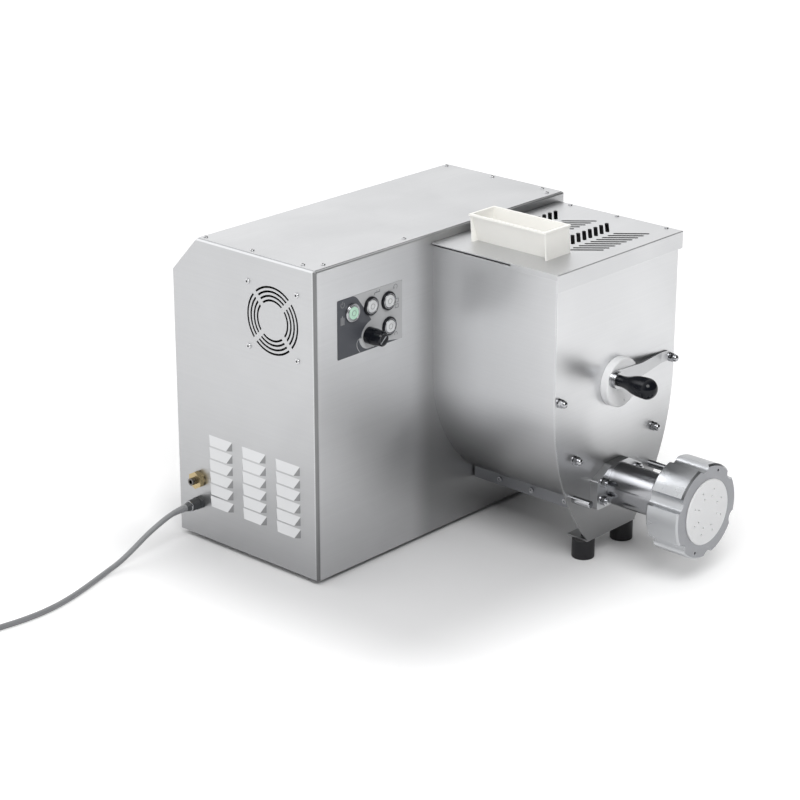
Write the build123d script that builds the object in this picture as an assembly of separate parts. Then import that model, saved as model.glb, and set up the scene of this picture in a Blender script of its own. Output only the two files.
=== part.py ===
from build123d import *
import os
from math import atan2, cos, degrees, hypot, pi, radians, sin, sqrt, tan

# Bench-top electric pasta extruder.
# Modelled with X along the control face, Y from the face to the back, Z up from the bench,
# and X = Y = 0 at the housing's front left corner. export() then shifts each piece, so that the
# row's origin is under the middle of the machine.  All sizes in millimetres.

# ---------------------------------------------------------------- clearances
FIT = 0.05              # radial running fit of shafts, pins and bores
GAP = 0.3               # clearance between pieces that move past each other

# ---------------------------------------------------------------- housing
BODY_W = 593.0          # width along the control face
BODY_D = 312.0          # depth
BODY_TOP = 514.0        # top plate's upper face above the bench
PAD_H = 8.0             # rubber pads under the housing
PAD_R = 15.0
PAD_INSET = 34.0
SHEET = 1.5             # housing sheet
TOP_SHEET = 1.2         # loose top plate
TOP_INSET = 4.0         # bare border round the top plate
LEDGE = 22.0            # inward flange that carries the top plate
BEND_R = 3.0            # outer radius of the top bends
CORNER_R = 5.0          # outer radius of the front left corner bend
CORNER_RETURN = 6.0     # how far the front panel wraps round the corner
SLOPE_Y = 56.0          # sloped upper back, along Y
SLOPE_Z = 60.0          # sloped upper back, along Z
TRAY_LIP = 25.0

TOP_SCREW_R = 3.75
TOP_SCREW_H = 1.6
TOP_SHANK_R = 2.0
TOP_SCREW_EDGE = 13.5
TOP_SCREWS_SIDE = (38.0, 0.468 * BODY_D, BODY_D - SLOPE_Y - 7.0)                # Y along each side
TOP_SCREWS_FRONT = (34.5, 0.362 * BODY_W, 0.663 * BODY_W, BODY_W - 28.0)        # X along the front

# ---------------------------------------------------------------- left panel
FAN_Y = 91.0
FAN_Z = BODY_TOP - 98.0
FAN_SIZE = 120.0        # square fan frame
FAN_DEEP = 25.0
FAN_BLADES = 7
FAN_HUB_R = 19.0
FAN_PIN_R = 4.0
FAN_PITCH = 105.0       # screw spacing
FAN_SCREW_R = 2.15
FAN_HEAD_R = 4.5
FAN_HEAD_H = 2.4
GRILLE_RADII = (55.0, 48.0, 41.0, 34.0)
GRILLE_SLOT = 3.4
GRILLE_RIB = 8.0
LOUVRE_W = 53.0
LOUVRE_H = 14.8
LOUVRE_DEEP = 6.0
LOUVRE_BEVEL = 8.0      # how far each slanted end runs in by the lip
LOUVRE_SHEET = 1.2
LOUVRE_PITCH_Y = 75.0
LOUVRE_PITCH_Z = 21.05
LOUVRE_COLS = 3
LOUVRE_ROWS = 6
LOUVRE_Y = 37.5         # front edge of the first column
LOUVRE_TOP = 190.3      # top of the first row
INLET_Y = 266.5
INLET_Z = 106.7
INLET_REACH = 19.0
INLET_R = 6.0
INLET_TAIL = 9.0        # bare length of the hose tail
INLET_NUT_R = 15.0      # its big nut's corner radius
INLET_BORE = 3.5
GLAND_Z = 66.0
GLAND_REACH = 32.0
GLAND_R = 9.0
GLAND_HEX = 23.5        # across the corners
GLAND_NOSE = 10.0       # tapered end of the gland
GLAND_TIP_R = 6.0

# ---------------------------------------------------------------- control face
LABEL_X0, LABEL_X1 = 47.3, 192.5
LABEL_Z0, LABEL_Z1 = BODY_TOP - 153.0, BODY_TOP - 58.0
LABEL_T = 0.4
BUTTON_ROW = BODY_TOP - 83.5
START_XZ = (79.4, BUTTON_ROW)
WHITE_XZ = ((121.0, BUTTON_ROW + 0.5), (160.0, BUTTON_ROW - 0.5), (161.6, BUTTON_ROW - 42.0))
BUTTON_R = 10.0
BUTTON_PROUD = 1.5      # how far a cap stands out of its bezel's recess
BUTTON_TRAVEL = 2.5
BUTTON_BACK = SHEET + 2.0       # back of a cap at rest
BEZEL_R = 15.0
BEZEL_H = 4.0
BEZEL_NECK_R = 11.0     # 22 mm panel hole
BLOCK_DEEP = 40.0       # contact block behind the panel
KNOB_XZ = (116.5, BUTTON_ROW - 45.5)
KNOB_R = 13.5
KNOB_TIP_R = 11.5
KNOB_TIP = 32.5         # tip of the knob in front of the panel
KNOB_SKIRT = 1.2        # gap between knob and panel
POT_SHAFT_R = 3.0
POT_SHAFT_L = 19.5      # shaft in front of the panel
POT_HOLE_R = 4.5
POT_R = 12.0
INVERTER = (40.0, 200.0, BODY_D - 117.0, 318.0, 448.0)  # X0, X1, Y0, Z0, Z1, on the back panel

# ---------------------------------------------------------------- mixing trough
MIX_X = BODY_W - 175.0  # centre line of trough, mixer and auger
MIX_Z = 290.0           # mixer axis
TROUGH_HALF = 152.0
TROUGH_FRONT = 250.0    # front plate's face, in front of the housing
TROUGH_RIM = 494.0
TROUGH_WALL = 2.0
TROUGH_ARC_Z = 284.0    # below this the sides curve inwards
TROUGH_ARC_R = 230.0
TROUGH_FLOOR = 93.0     # where the sides land on the auger bed
PLATE_T = 3.0           # front plate, trough back and trough front frame
MOUTH_R = 130.0         # opening in the trough's front frame
MOUTH_BORDER = 12.0     # and the frame's border above it
BED_HALF = 50.0
BED_UNDER = 73.5
BED_SCREWS_Y = (59.0, 125.0, 194.0)
BED_SCREW_Z = 84.0
BED_SCREW_R = 4.5
BED_SHANK_R = 2.4
BED_SLOPE = 0.29        # rise of the bed's upper faces towards the walls
AXIS_DROP = 171.0       # mixer axis down to auger axis: the mixer and auger gears in mesh
AUG_Z = MIX_Z - AXIS_DROP
FACE_ARC_Z = 278.0      # front plate's own outline
FACE_ARC_R = 370.0
FACE_FOOT_Z = 33.0      # underside of its bent foot
FACE_FOOT_HALF = 62.0
FACE_FOOT_DEEP = 41.0
FOOT_R = 18.5
FOOT_X = 50.0
FOOT_Y = 233.0
FOOT_STUD_R = 4.0       # stud bonded into the top of each foot
ACORN_UPPER = (142.5, 292.0)    # half spacing and height of the upper pair
ACORN_LOWER = (100.5, 185.0)
ACORN_R = 7.0
ACORN_L = 15.5
SMALL_STUD_R = 3.0      # studs under the acorn nuts, and the barrel studs' thin ends
STUD_X = 100.0
STUD_R = 6.0
STUD_L = 35.0
CASE_BOLT_R = 3.0       # through bolts: trough, front panel and both gearbox halves
CASE_BOLT_ANGLES = (0, 35, 70, 110, 145)

# ---------------------------------------------------------------- lid and funnel
LID_X0, LID_X1 = MIX_X - TROUGH_HALF - 4.0, MIX_X + TROUGH_HALF + 8.0
LID_TOP = 500.0
LID_T = 2.0
LID_FRONT = 252.5
LID_FRONT_DROP = 28.5   # front flange, down from the lid's top
LID_SIDE_BACK = 160.0   # the left flange runs from the front to here
HINGE_X = LID_X1 - 3.5
HINGE_Z = 494.0
HINGE_R = 3.0
HINGE_PIN_R = 1.5
HINGE_LEAF_T = 1.2
LID_LEAF_W = 18.0       # lid's leaf, from the hinge axis
WALL_LEAF_H = 26.0      # wall's leaf, down from the hinge axis
RIVET_X = HINGE_X - 3.0
RIVET_R = 2.0
RIVET_HEAD_R = 3.5
KNUCKLE_L = 30.0
KNUCKLES_Y = (29.0, 125.0, 224.0)   # centres of the lid's knuckles, and its rivets
VENT_PITCH_X = 14.6
VENT_PITCH_Y = 105.0
VENT_COUNT = 9
VENT_X = MIX_X - 44.0
VENT_W = 6.5
VENT_ROWS = ((40.0, 30.7, 0.0, 63.6), (0.0, 74.7, 38.0, 118.0))     # a slot's X0, Y0, X1, Y1 in each row
FUNNEL_FOOT = (MIX_X - 98.0, MIX_X - 66.0, 45.0, 190.0)     # X0, X1, Y0, Y1 (ahead of the housing)
FUNNEL_RIM = (MIX_X - 114.0, MIX_X - 56.0, 42.0, 193.0)
FUNNEL_H = 46.0
FUNNEL_TOP = LID_TOP + FUNNEL_H
FUNNEL_WALL = 3.0
FUNNEL_LIP = 1.5
FUNNEL_END = (MIX_X - 110.0, MIX_X - 52.0)      # foot of the two end plates, X0 and X1

# ---------------------------------------------------------------- barrel, ring and die
FLANGE_T = 14.0
FLANGE_HALF = 58.0
FLANGE_LOW = 29.0
FLANGE_SIDE_TOP = 18.0
FLANGE_TOP = 38.0
FLANGE_TOP_HALF = 22.0
BARREL_R = 35.0
BORE_R = 28.0
BARREL_NUT_X = 44.0
BARREL_NUT_Z = 15.0
NUT_M8_R = 7.5          # hexagon's corner radius
BARREL_STUD_R = 4.0
HEAD_R = 61.0           # threaded head of the barrel, as a plain cylinder
HEAD_Y0 = 384.0
HEAD_Y1 = 419.0
HEAD_MOUTH_R = 52.0
RING_Y0 = 372.0
RING_Y1 = 433.0
RING_R = 77.0
RING_LOBES = 6
RING_PHASE = 37.0       # direction of the first groove
RING_GROOVE_R = 13.0
RING_GROOVE_OUT = 4.0   # a groove's centre beyond the ring's edge
RING_LIP = 5.0
DIE_FLANGE_R = 57.5
DIE_NOSE_R = 53.3
DIE_FRONT = 435.5
DIE_HOLES = ((37.0, 8, 1.6), (26.0, 8, 1.6))    # ring radius, count, hole radius

# ---------------------------------------------------------------- front bearing with its latch
DISC_R = 40.5
DISC_FRONT = 264.0
DISC_SPIGOT_R = 29.7
PLATE_HOLE_R = 30.0
GRIP_XZ = (MIX_X - 24.0, MIX_Z + 12.5)      # the latch's handle stands off the disc's centre
COLLAR_R = 13.5
COLLAR_L = 8.0
HANDLE_NECK_R = 9.0
HANDLE_FAT_R = 17.0
HANDLE_FAT_Y = 333.0
HANDLE_END = 345.0
LEVER_REACH = 131.0     # end of the lever, from the disc's centre
LEVER_RISE = 8.0        # its middle line there, above that centre
LEVER_HALF_TIP = 8.5
LEVER_RAMP = 70.0       # length of its slope down to the plate
LEVER_T = 3.0

# ---------------------------------------------------------------- drive
MODULE = 3.0
AUGER_TEETH = 38
MIXER_TEETH = 76
PINION_TEETH = 20
FINE_MODULE = 1.5
WHEEL_TEETH = 60
ROTOR_TEETH = 12
GEAR_Y0, GEAR_Y1 = 22.0, 47.0
CASE_Y1 = 50.0          # end of the gearbox's front half
CASE_BACK = 67.0        # end of its rear half
CASE_WALL = 10.0
CASE_R = 128.0          # outside of the gearbox round the mixer gear
CASE_LOW_R = 70.0       # round the auger gear
CASE_SIDE_R = 45.0      # round the output pinion
SHAFT_R = 12.5          # journals in the bearings
SEAL_R = 18.5
BEARING_R = 26.0
BEARING_L = 15.0
SMALL_SHAFT_R = 7.5
SMALL_BEARING_R = 17.5
SMALL_BEARING_L = 11.0
WHEEL_Y0, WHEEL_Y1 = 72.0, 84.0
REDUCER_BACK = 88.0
REDUCER_R = 54.0        # outside of the first stage's case round its wheel
REDUCER_WALL = 5.0
MOTOR_BOSS_R = 24.0
MOTOR_Y0 = 94.0
MOTOR_Y1 = BODY_D - 57.0
MOTOR_R = 68.0
MOTOR_WALL = 6.0
STATOR_Y0, STATOR_Y1 = MOTOR_Y0 + 31.0, MOTOR_Y1 - 30.0
STATOR_BORE = 31.0
ROTOR_R = 30.4
PINION_DX = 128.0       # pinion shaft, left of the mixer axis
PINION_DZ = 66.0        # and below it
MIX_CORE_R = 15.0
PADDLE_REACH = 126.0
PADDLE_L = 40.0
PADDLE_T = 5.0
AUGER_CORE_R = 15.0
AUGER_R = 27.0
AUGER_PITCH = 45.0
AUGER_TURNS = 8
FLIGHT_DEG = 48.0       # share of a turn that the flight's thickness takes

# ---------------------------------------------------------------- cord
CORD_R = 4.4
COIL_MID_R = 48.5
COIL_WIDE = 2           # turns side by side
COIL_HIGH = 3           # turns on top of each other
PLUG_L = 42.0
PLUG_R = 17.0
CORD_Z = CORD_R + 0.2
CORD_ROUTE = [
    (-GLAND_REACH, INLET_Y, GLAND_Z),
    (-57.0, INLET_Y, GLAND_Z),
    (-86.0, 266.5, 57.5),
    (-113.0, 271.0, 43.0),
    (-139.0, 274.5, 26.0),
    (-166.0, 277.0, 11.5),
    (-200.0, 275.0, CORD_Z),
    (-243.0, 261.0, CORD_Z),
    (-290.0, 247.0, CORD_Z),
    (-342.0, 238.0, CORD_Z),
    (-394.0, 239.0, CORD_Z),
    (-446.0, 251.0, CORD_Z),
    (-495.0, 254.5, CORD_Z),
]
COIL_X, COIL_Y = CORD_ROUTE[-1][0], CORD_ROUTE[-1][1] + COIL_MID_R

X_MIN, X_MAX = -GLAND_REACH, BODY_W
Y_MIN, Y_MAX = -DIE_FRONT, BODY_D
ORIGIN = Location((-(X_MIN + X_MAX) / 2, -(Y_MIN + Y_MAX) / 2, 0))


# ================================================================ helpers
def block(x0, x1, y0, y1, z0, z1):
    centre = ((x0 + x1) / 2, (y0 + y1) / 2, (z0 + z1) / 2)
    return Pos(*centre) * Box(abs(x1 - x0), abs(y1 - y0), abs(z1 - z0))


def rod_x(y, z, radius, x0, x1):
    return Pos((x0 + x1) / 2, y, z) * Rot(0, 90, 0) * Cylinder(radius, abs(x1 - x0))


def rod_y(x, z, radius, y0, y1):
    return Pos(x, (y0 + y1) / 2, z) * Rot(90, 0, 0) * Cylinder(radius, abs(y1 - y0))


def rod_z(x, y, radius, z0, z1):
    return Pos(x, y, (z0 + z1) / 2) * Cylinder(radius, abs(z1 - z0))


def tube_y(x, z, outer, inner, y0, y1):
    return rod_y(x, z, outer, y0, y1) - rod_y(x, z, inner, y0 - 1, y1 + 1)


def plate_y(sketch, y0, y1):
    """A plate between two depths, from a sketch drawn in X and Z."""
    low, high = min(y0, y1), max(y0, y1)
    return extrude(Plane.XZ.offset(-high) * sketch, amount=high - low)


def plate_x(sketch, x0, x1):
    """A plate between two widths, from a sketch drawn in Y and Z."""
    return extrude(Plane.YZ.offset(x0) * sketch, amount=x1 - x0)


def hex_x(y, z, radius, x0, x1):
    return Pos(x0, y, z) * Rot(0, 90, 0) * extrude(RegularPolygon(radius, 6), amount=x1 - x0)


def hex_y(x, z, radius, y0, y1):
    return plate_y(Pos(x, z) * RegularPolygon(radius, 6), y0, y1)


def polar(radius, angle_deg, x=0.0, z=0.0):
    return x + radius * cos(radians(angle_deg)), z + radius * sin(radians(angle_deg))


def closed_face(points):
    """A flat face inside a closed line of corners."""
    return make_face(Polyline(*points, close=True))


def export(name, *pieces):
    shifted = [ORIGIN * piece for piece in pieces]
    solids = [solid for piece in shifted for solid in piece.solids()]
    shape = solids[0] if len(solids) == 1 else Compound(children=solids)
    export_step(shape, os.path.join("parts", name + ".step"))


# ================================================================ housing
def side_outline(front, top):
    return closed_face([
        (front, PAD_H),
        (BODY_D, PAD_H),
        (BODY_D, BODY_TOP - TOP_SHEET - SLOPE_Z),
        (BODY_D - SLOPE_Y, top),
        (front, top),
    ])


LEDGE_TOP = BODY_TOP - TOP_SHEET


def base_tray():
    edge = SHEET + GAP
    outer = block(edge, BODY_W - edge, edge, BODY_D - edge, PAD_H, PAD_H + TRAY_LIP)
    outer = fillet(outer.edges().filter_by(Axis.Z), CORNER_R)
    inner = edge + SHEET
    hollow = block(inner, BODY_W - inner, inner, BODY_D - inner, PAD_H + SHEET, BODY_TOP)
    return outer - fillet(hollow.edges().filter_by(Axis.Z), CORNER_R - SHEET)


def base_pads():
    return [
        rod_z(x, y, PAD_R, 0, PAD_H)
        for x in (PAD_INSET, BODY_W - PAD_INSET)
        for y in (PAD_INSET, BODY_D - PAD_INSET)
    ]


def end_edge(shape, axis, *nearest):
    """The edge along an axis whose middle lies nearest to a point."""
    return shape.edges().filter_by(axis).sort_by_distance(nearest)[0]


def front_panel():
    deep = LEDGE + SHEET
    shell = block(0, BODY_W, 0, deep, PAD_H, LEDGE_TOP)
    hollow = block(SHEET, BODY_W - SHEET, SHEET, deep + 1, PAD_H - 1, LEDGE_TOP - SHEET)
    for x in (0, BODY_W):
        shell = fillet(end_edge(shell, Axis.Z, x, 0, BODY_TOP / 2), CORNER_R)
        hollow = fillet(end_edge(hollow, Axis.Z, x, 0, BODY_TOP / 2), CORNER_R - SHEET)
    shell = fillet(end_edge(shell, Axis.X, BODY_W / 2, 0, LEDGE_TOP), BEND_R)
    panel = shell - hollow
    side = LEDGE + SHEET + GAP
    for x0, x1 in ((-1, side), (BODY_W - side, BODY_W + 1)):
        panel -= block(x0, x1, CORNER_RETURN, deep + 1, PAD_H - 1, BODY_TOP)
    for x, z in (START_XZ,) + WHITE_XZ:
        panel -= rod_y(x, z, BEZEL_NECK_R, -1, deep)
    panel -= rod_y(*KNOB_XZ, POT_HOLE_R, -1, deep)
    for z in (MIX_Z, AUG_Z):
        panel -= rod_y(MIX_X, z, BEARING_R, -1, SHEET + 1)
    for x, z in case_bolt_places():
        panel -= rod_y(x, z, CASE_BOLT_R, -1, SHEET + 1)
    for x in TOP_SCREWS_FRONT:
        panel -= rod_z(x, TOP_SCREW_EDGE + 2.5, TOP_SHANK_R, LEDGE_TOP - 5, BODY_TOP)
    return panel


def grille_slots():
    slots = []
    for radius in GRILLE_RADII:
        slots.append(Circle(radius) - Circle(radius - GRILLE_SLOT))
    pattern = Sketch() + slots
    for angle in (45, 135):
        pattern -= Rot(0, 0, angle) * Rectangle(3 * FAN_SIZE, GRILLE_RIB)
    return Pos(FAN_Y, FAN_Z) * pattern


def louvre_plan(y_mid, half, low, top):
    """A louvre seen from above: straight through the sheet, then narrower towards the lip."""
    lip = half - LOUVRE_BEVEL
    outline = closed_face([
        (SHEET + 1, -half),
        (0, -half),
        (-LOUVRE_DEEP, -lip),
        (-LOUVRE_DEEP, lip),
        (0, half),
        (SHEET + 1, half),
    ])
    return Pos(0, y_mid, low) * extrude(outline, amount=top - low)


def louvre(y, top):
    """One pressed louvre with slanted ends: its wedge, and the hollow behind it that opens downwards."""
    low = top - LOUVRE_H
    lean = LOUVRE_DEEP / LOUVRE_H
    inner_x = -LOUVRE_DEEP + LOUVRE_SHEET * hypot(1, lean)
    inner_top = top - LOUVRE_SHEET - 0.4
    wedge = closed_face([(SHEET / 2, top), (0, top), (-LOUVRE_DEEP, low), (SHEET / 2, low)])
    hollow = closed_face([
        (inner_x, low - 0.01),
        (inner_x + lean * (inner_top - low), inner_top),
        (SHEET + 1, inner_top),
        (SHEET + 1, low - 0.01),
    ])
    y_mid = y + LOUVRE_W / 2
    plane = Plane(origin=(0, y_mid, 0), x_dir=(1, 0, 0), z_dir=(0, -1, 0))
    half = LOUVRE_W / 2
    side = LOUVRE_SHEET * hypot(1, LOUVRE_BEVEL / LOUVRE_DEEP)
    outer = extrude(plane * wedge, amount=half, both=True) & louvre_plan(y_mid, half, low - 1, top + 1)
    inner = extrude(plane * hollow, amount=half, both=True) & louvre_plan(y_mid, half - side, low - 1, top + 1)
    return outer, inner


def side_panel():
    """A side of the housing, as on the left: upright sheet with an inward ledge along its top."""
    panel = plate_x(side_outline(CORNER_RETURN + GAP / 2, LEDGE_TOP), 0, LEDGE + SHEET)
    panel = fillet(end_edge(panel, Axis.Y, 0, BODY_D / 2, LEDGE_TOP), BEND_R)
    panel -= block(SHEET, LEDGE + 9, -9, BODY_D + 9, PAD_H - 1, LEDGE_TOP - SHEET)
    panel -= block(SHEET, LEDGE + 9, BODY_D - SLOPE_Y, BODY_D + 9, PAD_H, BODY_TOP)
    for y in TOP_SCREWS_SIDE:
        panel -= rod_z(TOP_SCREW_EDGE, y, TOP_SHANK_R, LEDGE_TOP - 5, BODY_TOP)
    return panel


def left_panel():
    panel = side_panel()
    panel -= plate_x(grille_slots(), -1, SHEET + 1)
    for column in range(LOUVRE_COLS):
        for row in range(LOUVRE_ROWS):
            outer, inner = louvre(LOUVRE_Y + column * LOUVRE_PITCH_Y, LOUVRE_TOP - row * LOUVRE_PITCH_Z)
            panel = panel + outer - inner
    panel -= rod_x(INLET_Y, INLET_Z, INLET_R, -1, SHEET + 1)
    panel -= rod_x(INLET_Y, GLAND_Z, GLAND_R - 1, -1, SHEET + 1)
    for y, z in fan_screw_places():
        panel -= rod_x(y, z, FAN_SCREW_R, -1, SHEET + 1)
    return panel


def right_panel():
    return Pos(BODY_W, 0, 0) * mirror(side_panel(), about=Plane.YZ)


def back_panel():
    """Upright back and sloped upper back, bent from one sheet between the side panels."""
    slope = hypot(SLOPE_Y, SLOPE_Z)
    foot_z = LEDGE_TOP - SLOPE_Z + SHEET * (SLOPE_Z - slope) / SLOPE_Y
    head_y = BODY_D - (SHEET * slope + (SLOPE_Z - SHEET) * SLOPE_Y) / SLOPE_Z
    inner = closed_face([
        (head_y, PAD_H - 1),
        (BODY_D - SHEET, PAD_H - 1),
        (BODY_D - SHEET, foot_z),
        (head_y, LEDGE_TOP - SHEET),
    ])
    outer = closed_face([
        (BODY_D - SLOPE_Y, PAD_H),
        (BODY_D, PAD_H),
        (BODY_D, LEDGE_TOP - SLOPE_Z),
        (BODY_D - SLOPE_Y, LEDGE_TOP),
    ])
    sheet = outer - inner
    return plate_x(sheet, SHEET + GAP / 2, BODY_W - SHEET - GAP / 2)


def top_plate():
    plate = block(TOP_INSET, BODY_W - TOP_INSET, TOP_INSET, BODY_D - SLOPE_Y, LEDGE_TOP, BODY_TOP)
    for x, y in top_screw_places():
        plate -= rod_z(x, y, TOP_SHANK_R, LEDGE_TOP - 1, BODY_TOP + 1)
    return plate


def top_screw_places():
    places = [(x, TOP_SCREW_EDGE + 2.5) for x in TOP_SCREWS_FRONT]
    for x in (TOP_SCREW_EDGE, BODY_W - TOP_SCREW_EDGE):
        places += [(x, y) for y in TOP_SCREWS_SIDE]
    return places


def top_screws():
    screws = []
    for x, y in top_screw_places():
        head = rod_z(x, y, TOP_SCREW_R, BODY_TOP, BODY_TOP + TOP_SCREW_H)
        rim = head.edges().filter_by(GeomType.CIRCLE).sort_by(Axis.Z)[-1]
        head = fillet(rim, TOP_SCREW_H * 0.7)
        screws.append(head + rod_z(x, y, TOP_SHANK_R, LEDGE_TOP - 6, BODY_TOP))
    return screws


# ================================================================ fan and left-hand fittings
def fan_screw_places():
    half = FAN_PITCH / 2
    return [(FAN_Y + i * half, FAN_Z + k * half) for i in (-1, 1) for k in (-1, 1)]


def fan_frame():
    x0, x1 = SHEET, SHEET + FAN_DEEP
    half = FAN_SIZE / 2
    frame = block(x0, x1, FAN_Y - half, FAN_Y + half, FAN_Z - half, FAN_Z + half)
    frame -= rod_x(FAN_Y, FAN_Z, half - 2, x0 - 1, x1 + 1)
    for angle in (0, 90):
        frame += Pos(x1 - 2, FAN_Y, FAN_Z) * Rot(angle, 0, 0) * Box(4, FAN_SIZE - 2, 6)
    frame += rod_x(FAN_Y, FAN_Z, FAN_HUB_R + 1, x1 - 4, x1)
    frame += rod_x(FAN_Y, FAN_Z, FAN_PIN_R, x0 + 6, x1 - 4)
    for y, z in fan_screw_places():
        frame -= rod_x(y, z, FAN_SCREW_R, x0 - 1, x1 + 1)
    return frame


def fan_impeller():
    x0, x1 = SHEET + 3, SHEET + FAN_DEEP - 4 - GAP
    tip = FAN_SIZE / 2 - 3
    hub = rod_x(FAN_Y, FAN_Z, FAN_HUB_R, x0, x1)
    hub -= rod_x(FAN_Y, FAN_Z, FAN_PIN_R + FIT, x0 + 2, x1 + 1)
    blade = Pos((x0 + x1) / 2, FAN_Y + (FAN_HUB_R + tip) / 2, FAN_Z) * Rot(0, 38, 0) * Box(
        FAN_DEEP - 5, tip - FAN_HUB_R + 2, 1.6)
    for i in range(FAN_BLADES):
        turn = Rot(i * 360 / FAN_BLADES, 0, 0)
        hub += Pos(0, FAN_Y, FAN_Z) * turn * Pos(0, -FAN_Y, -FAN_Z) * blade
    return hub & rod_x(FAN_Y, FAN_Z, tip, x0, x1)


def fan_screws():
    screws = []
    for y, z in fan_screw_places():
        head = rod_x(y, z, FAN_HEAD_R, -FAN_HEAD_H, 0)
        rim = head.edges().filter_by(GeomType.CIRCLE).sort_by(Axis.X)[0]
        head = fillet(rim, FAN_HEAD_H * 0.6)
        screws.append(head + rod_x(y, z, FAN_SCREW_R, 0, SHEET + FAN_DEEP + 3))
    return screws


def water_inlet():
    tail = INLET_TAIL - INLET_REACH
    body = rod_x(INLET_Y, INLET_Z, INLET_R, -INLET_REACH, 22) + rod_x(INLET_Y, INLET_Z, 12.5, -3, 0)
    body += hex_x(INLET_Y, INLET_Z, INLET_NUT_R, tail, -2.5) + hex_x(INLET_Y, INLET_Z, 11.5, SHEET, SHEET + 6)
    return body - rod_x(INLET_Y, INLET_Z, INLET_BORE, -INLET_REACH - 1, 23)


def cable_gland():
    nose = GLAND_REACH - GLAND_NOSE
    body = hex_x(INLET_Y, GLAND_Z, GLAND_HEX / 2, -6, 0) + rod_x(INLET_Y, GLAND_Z, GLAND_R, -nose, 0)
    body += rod_x(INLET_Y, GLAND_Z, GLAND_R - 1, 0, 12) + rod_x(INLET_Y, GLAND_Z, 12, SHEET, SHEET + 5)
    cone = Rot(0, 90, 0) * Cone(GLAND_TIP_R, GLAND_R, GLAND_NOSE)
    return body + Pos(-(GLAND_REACH + nose) / 2, INLET_Y, GLAND_Z) * cone


# ================================================================ controls
def control_label():
    width, height = LABEL_X1 - LABEL_X0, LABEL_Z1 - LABEL_Z0
    outline = Pos((LABEL_X0 + LABEL_X1) / 2, (LABEL_Z0 + LABEL_Z1) / 2) * RectangleRounded(width, height, 2)
    for x, z in (START_XZ,) + WHITE_XZ:
        outline -= Pos(x, z) * Circle(BEZEL_NECK_R)
    outline -= Pos(*KNOB_XZ) * Circle(POT_HOLE_R)
    return plate_y(outline, -LABEL_T, 0)


def bezel(x, z):
    ring = rod_y(x, z, BEZEL_R, -LABEL_T - BEZEL_H, -LABEL_T)
    rim = ring.edges().filter_by(GeomType.CIRCLE).sort_by(Axis.Y)[0]
    ring = fillet(rim, 1.5)
    ring += rod_y(x, z, BEZEL_NECK_R - 0.1, -LABEL_T - 1, SHEET)
    return ring - rod_y(x, z, BUTTON_R + GAP, -LABEL_T - BEZEL_H - 1, SHEET + 1)


def button(x, z):
    front = -LABEL_T - BEZEL_H - BUTTON_PROUD
    cap = rod_y(x, z, BUTTON_R, front, BUTTON_BACK)
    rim = cap.edges().filter_by(GeomType.CIRCLE).sort_by(Axis.Y)[0]
    cap = fillet(rim, 1.2)
    return cap - rod_y(x, z, BUTTON_R - 3, front - 1, front + 0.5)


def contact_blocks():
    blocks = []
    for x, z in (START_XZ,) + WHITE_XZ:
        sleeve = rod_y(x, z, BEZEL_NECK_R + 3, SHEET, BUTTON_BACK + 6)
        body = block(x - 13, x + 13, BUTTON_BACK + 6, SHEET + BLOCK_DEEP, z - 13, z + 13)
        recess = rod_y(x, z, BUTTON_R + GAP, SHEET - 1, BUTTON_BACK + BUTTON_TRAVEL + GAP)
        blocks.append(sleeve + body - recess)
    return blocks


def knob():
    x, z = KNOB_XZ
    profile = closed_face([
        (0, 0),
        (KNOB_R, 0),
        (KNOB_R, KNOB_TIP * 0.45),
        (KNOB_TIP_R, KNOB_TIP - KNOB_SKIRT - 1.5),
        (KNOB_TIP_R - 1.5, KNOB_TIP - KNOB_SKIRT),
        (0, KNOB_TIP - KNOB_SKIRT),
    ])
    body = revolve(profile, axis=Axis.Y)
    body = Pos(x, -KNOB_SKIRT, z) * Rot(180, 0, 0) * body
    return body - rod_y(x, z, POT_SHAFT_R + FIT, -POT_SHAFT_L - GAP, 1)


def potentiometer():
    x, z = KNOB_XZ
    body = rod_y(x, z, POT_R, SHEET, SHEET + 12)
    return body + rod_y(x, z, POT_SHAFT_R, -POT_SHAFT_L, SHEET)


def inverter_box():
    x0, x1, y0, z0, z1 = INVERTER
    return block(x0, x1, y0, BODY_D - SHEET, z0, z1)


# ================================================================ trough
def trough_outline(half, arc_z, arc_r, low, high, inset=0.0):
    """The trough's cross-section: upright sides that curve in towards a narrow bottom."""
    half, arc_r = half - inset, arc_r - inset
    drop = arc_z - low
    reach = arc_r - sqrt(arc_r ** 2 - drop ** 2)
    middle = atan2(drop, arc_r - reach) / 2
    mid_in = arc_r * (1 - cos(middle))
    mid_down = arc_r * sin(middle)
    return make_face([
        Line((MIX_X - half, high), (MIX_X - half, arc_z)),
        ThreePointArc(
            (MIX_X - half, arc_z),
            (MIX_X - half + mid_in, arc_z - mid_down),
            (MIX_X - half + reach, low),
        ),
        Line((MIX_X - half + reach, low), (MIX_X + half - reach, low)),
        ThreePointArc(
            (MIX_X + half - reach, low),
            (MIX_X + half - mid_in, arc_z - mid_down),
            (MIX_X + half, arc_z),
        ),
        Line((MIX_X + half, arc_z), (MIX_X + half, high)),
        Line((MIX_X + half, high), (MIX_X - half, high)),
    ])


def trough_section(inset, low=TROUGH_FLOOR, high=TROUGH_RIM):
    return trough_outline(TROUGH_HALF, TROUGH_ARC_Z, TROUGH_ARC_R, low, high, inset)


def case_bolt_places():
    return [polar(CASE_R - CASE_WALL / 2, angle, MIX_X, MIX_Z) for angle in CASE_BOLT_ANGLES]


def acorn_places():
    pairs = (ACORN_UPPER, ACORN_LOWER)
    return [(MIX_X + side * half, z) for half, z in pairs for side in (-1, 1)]


def barrel_nut_places():
    return [(MIX_X + i * BARREL_NUT_X, AUG_Z + k * BARREL_NUT_Z) for i in (-1, 1) for k in (-1, 1)]


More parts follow.
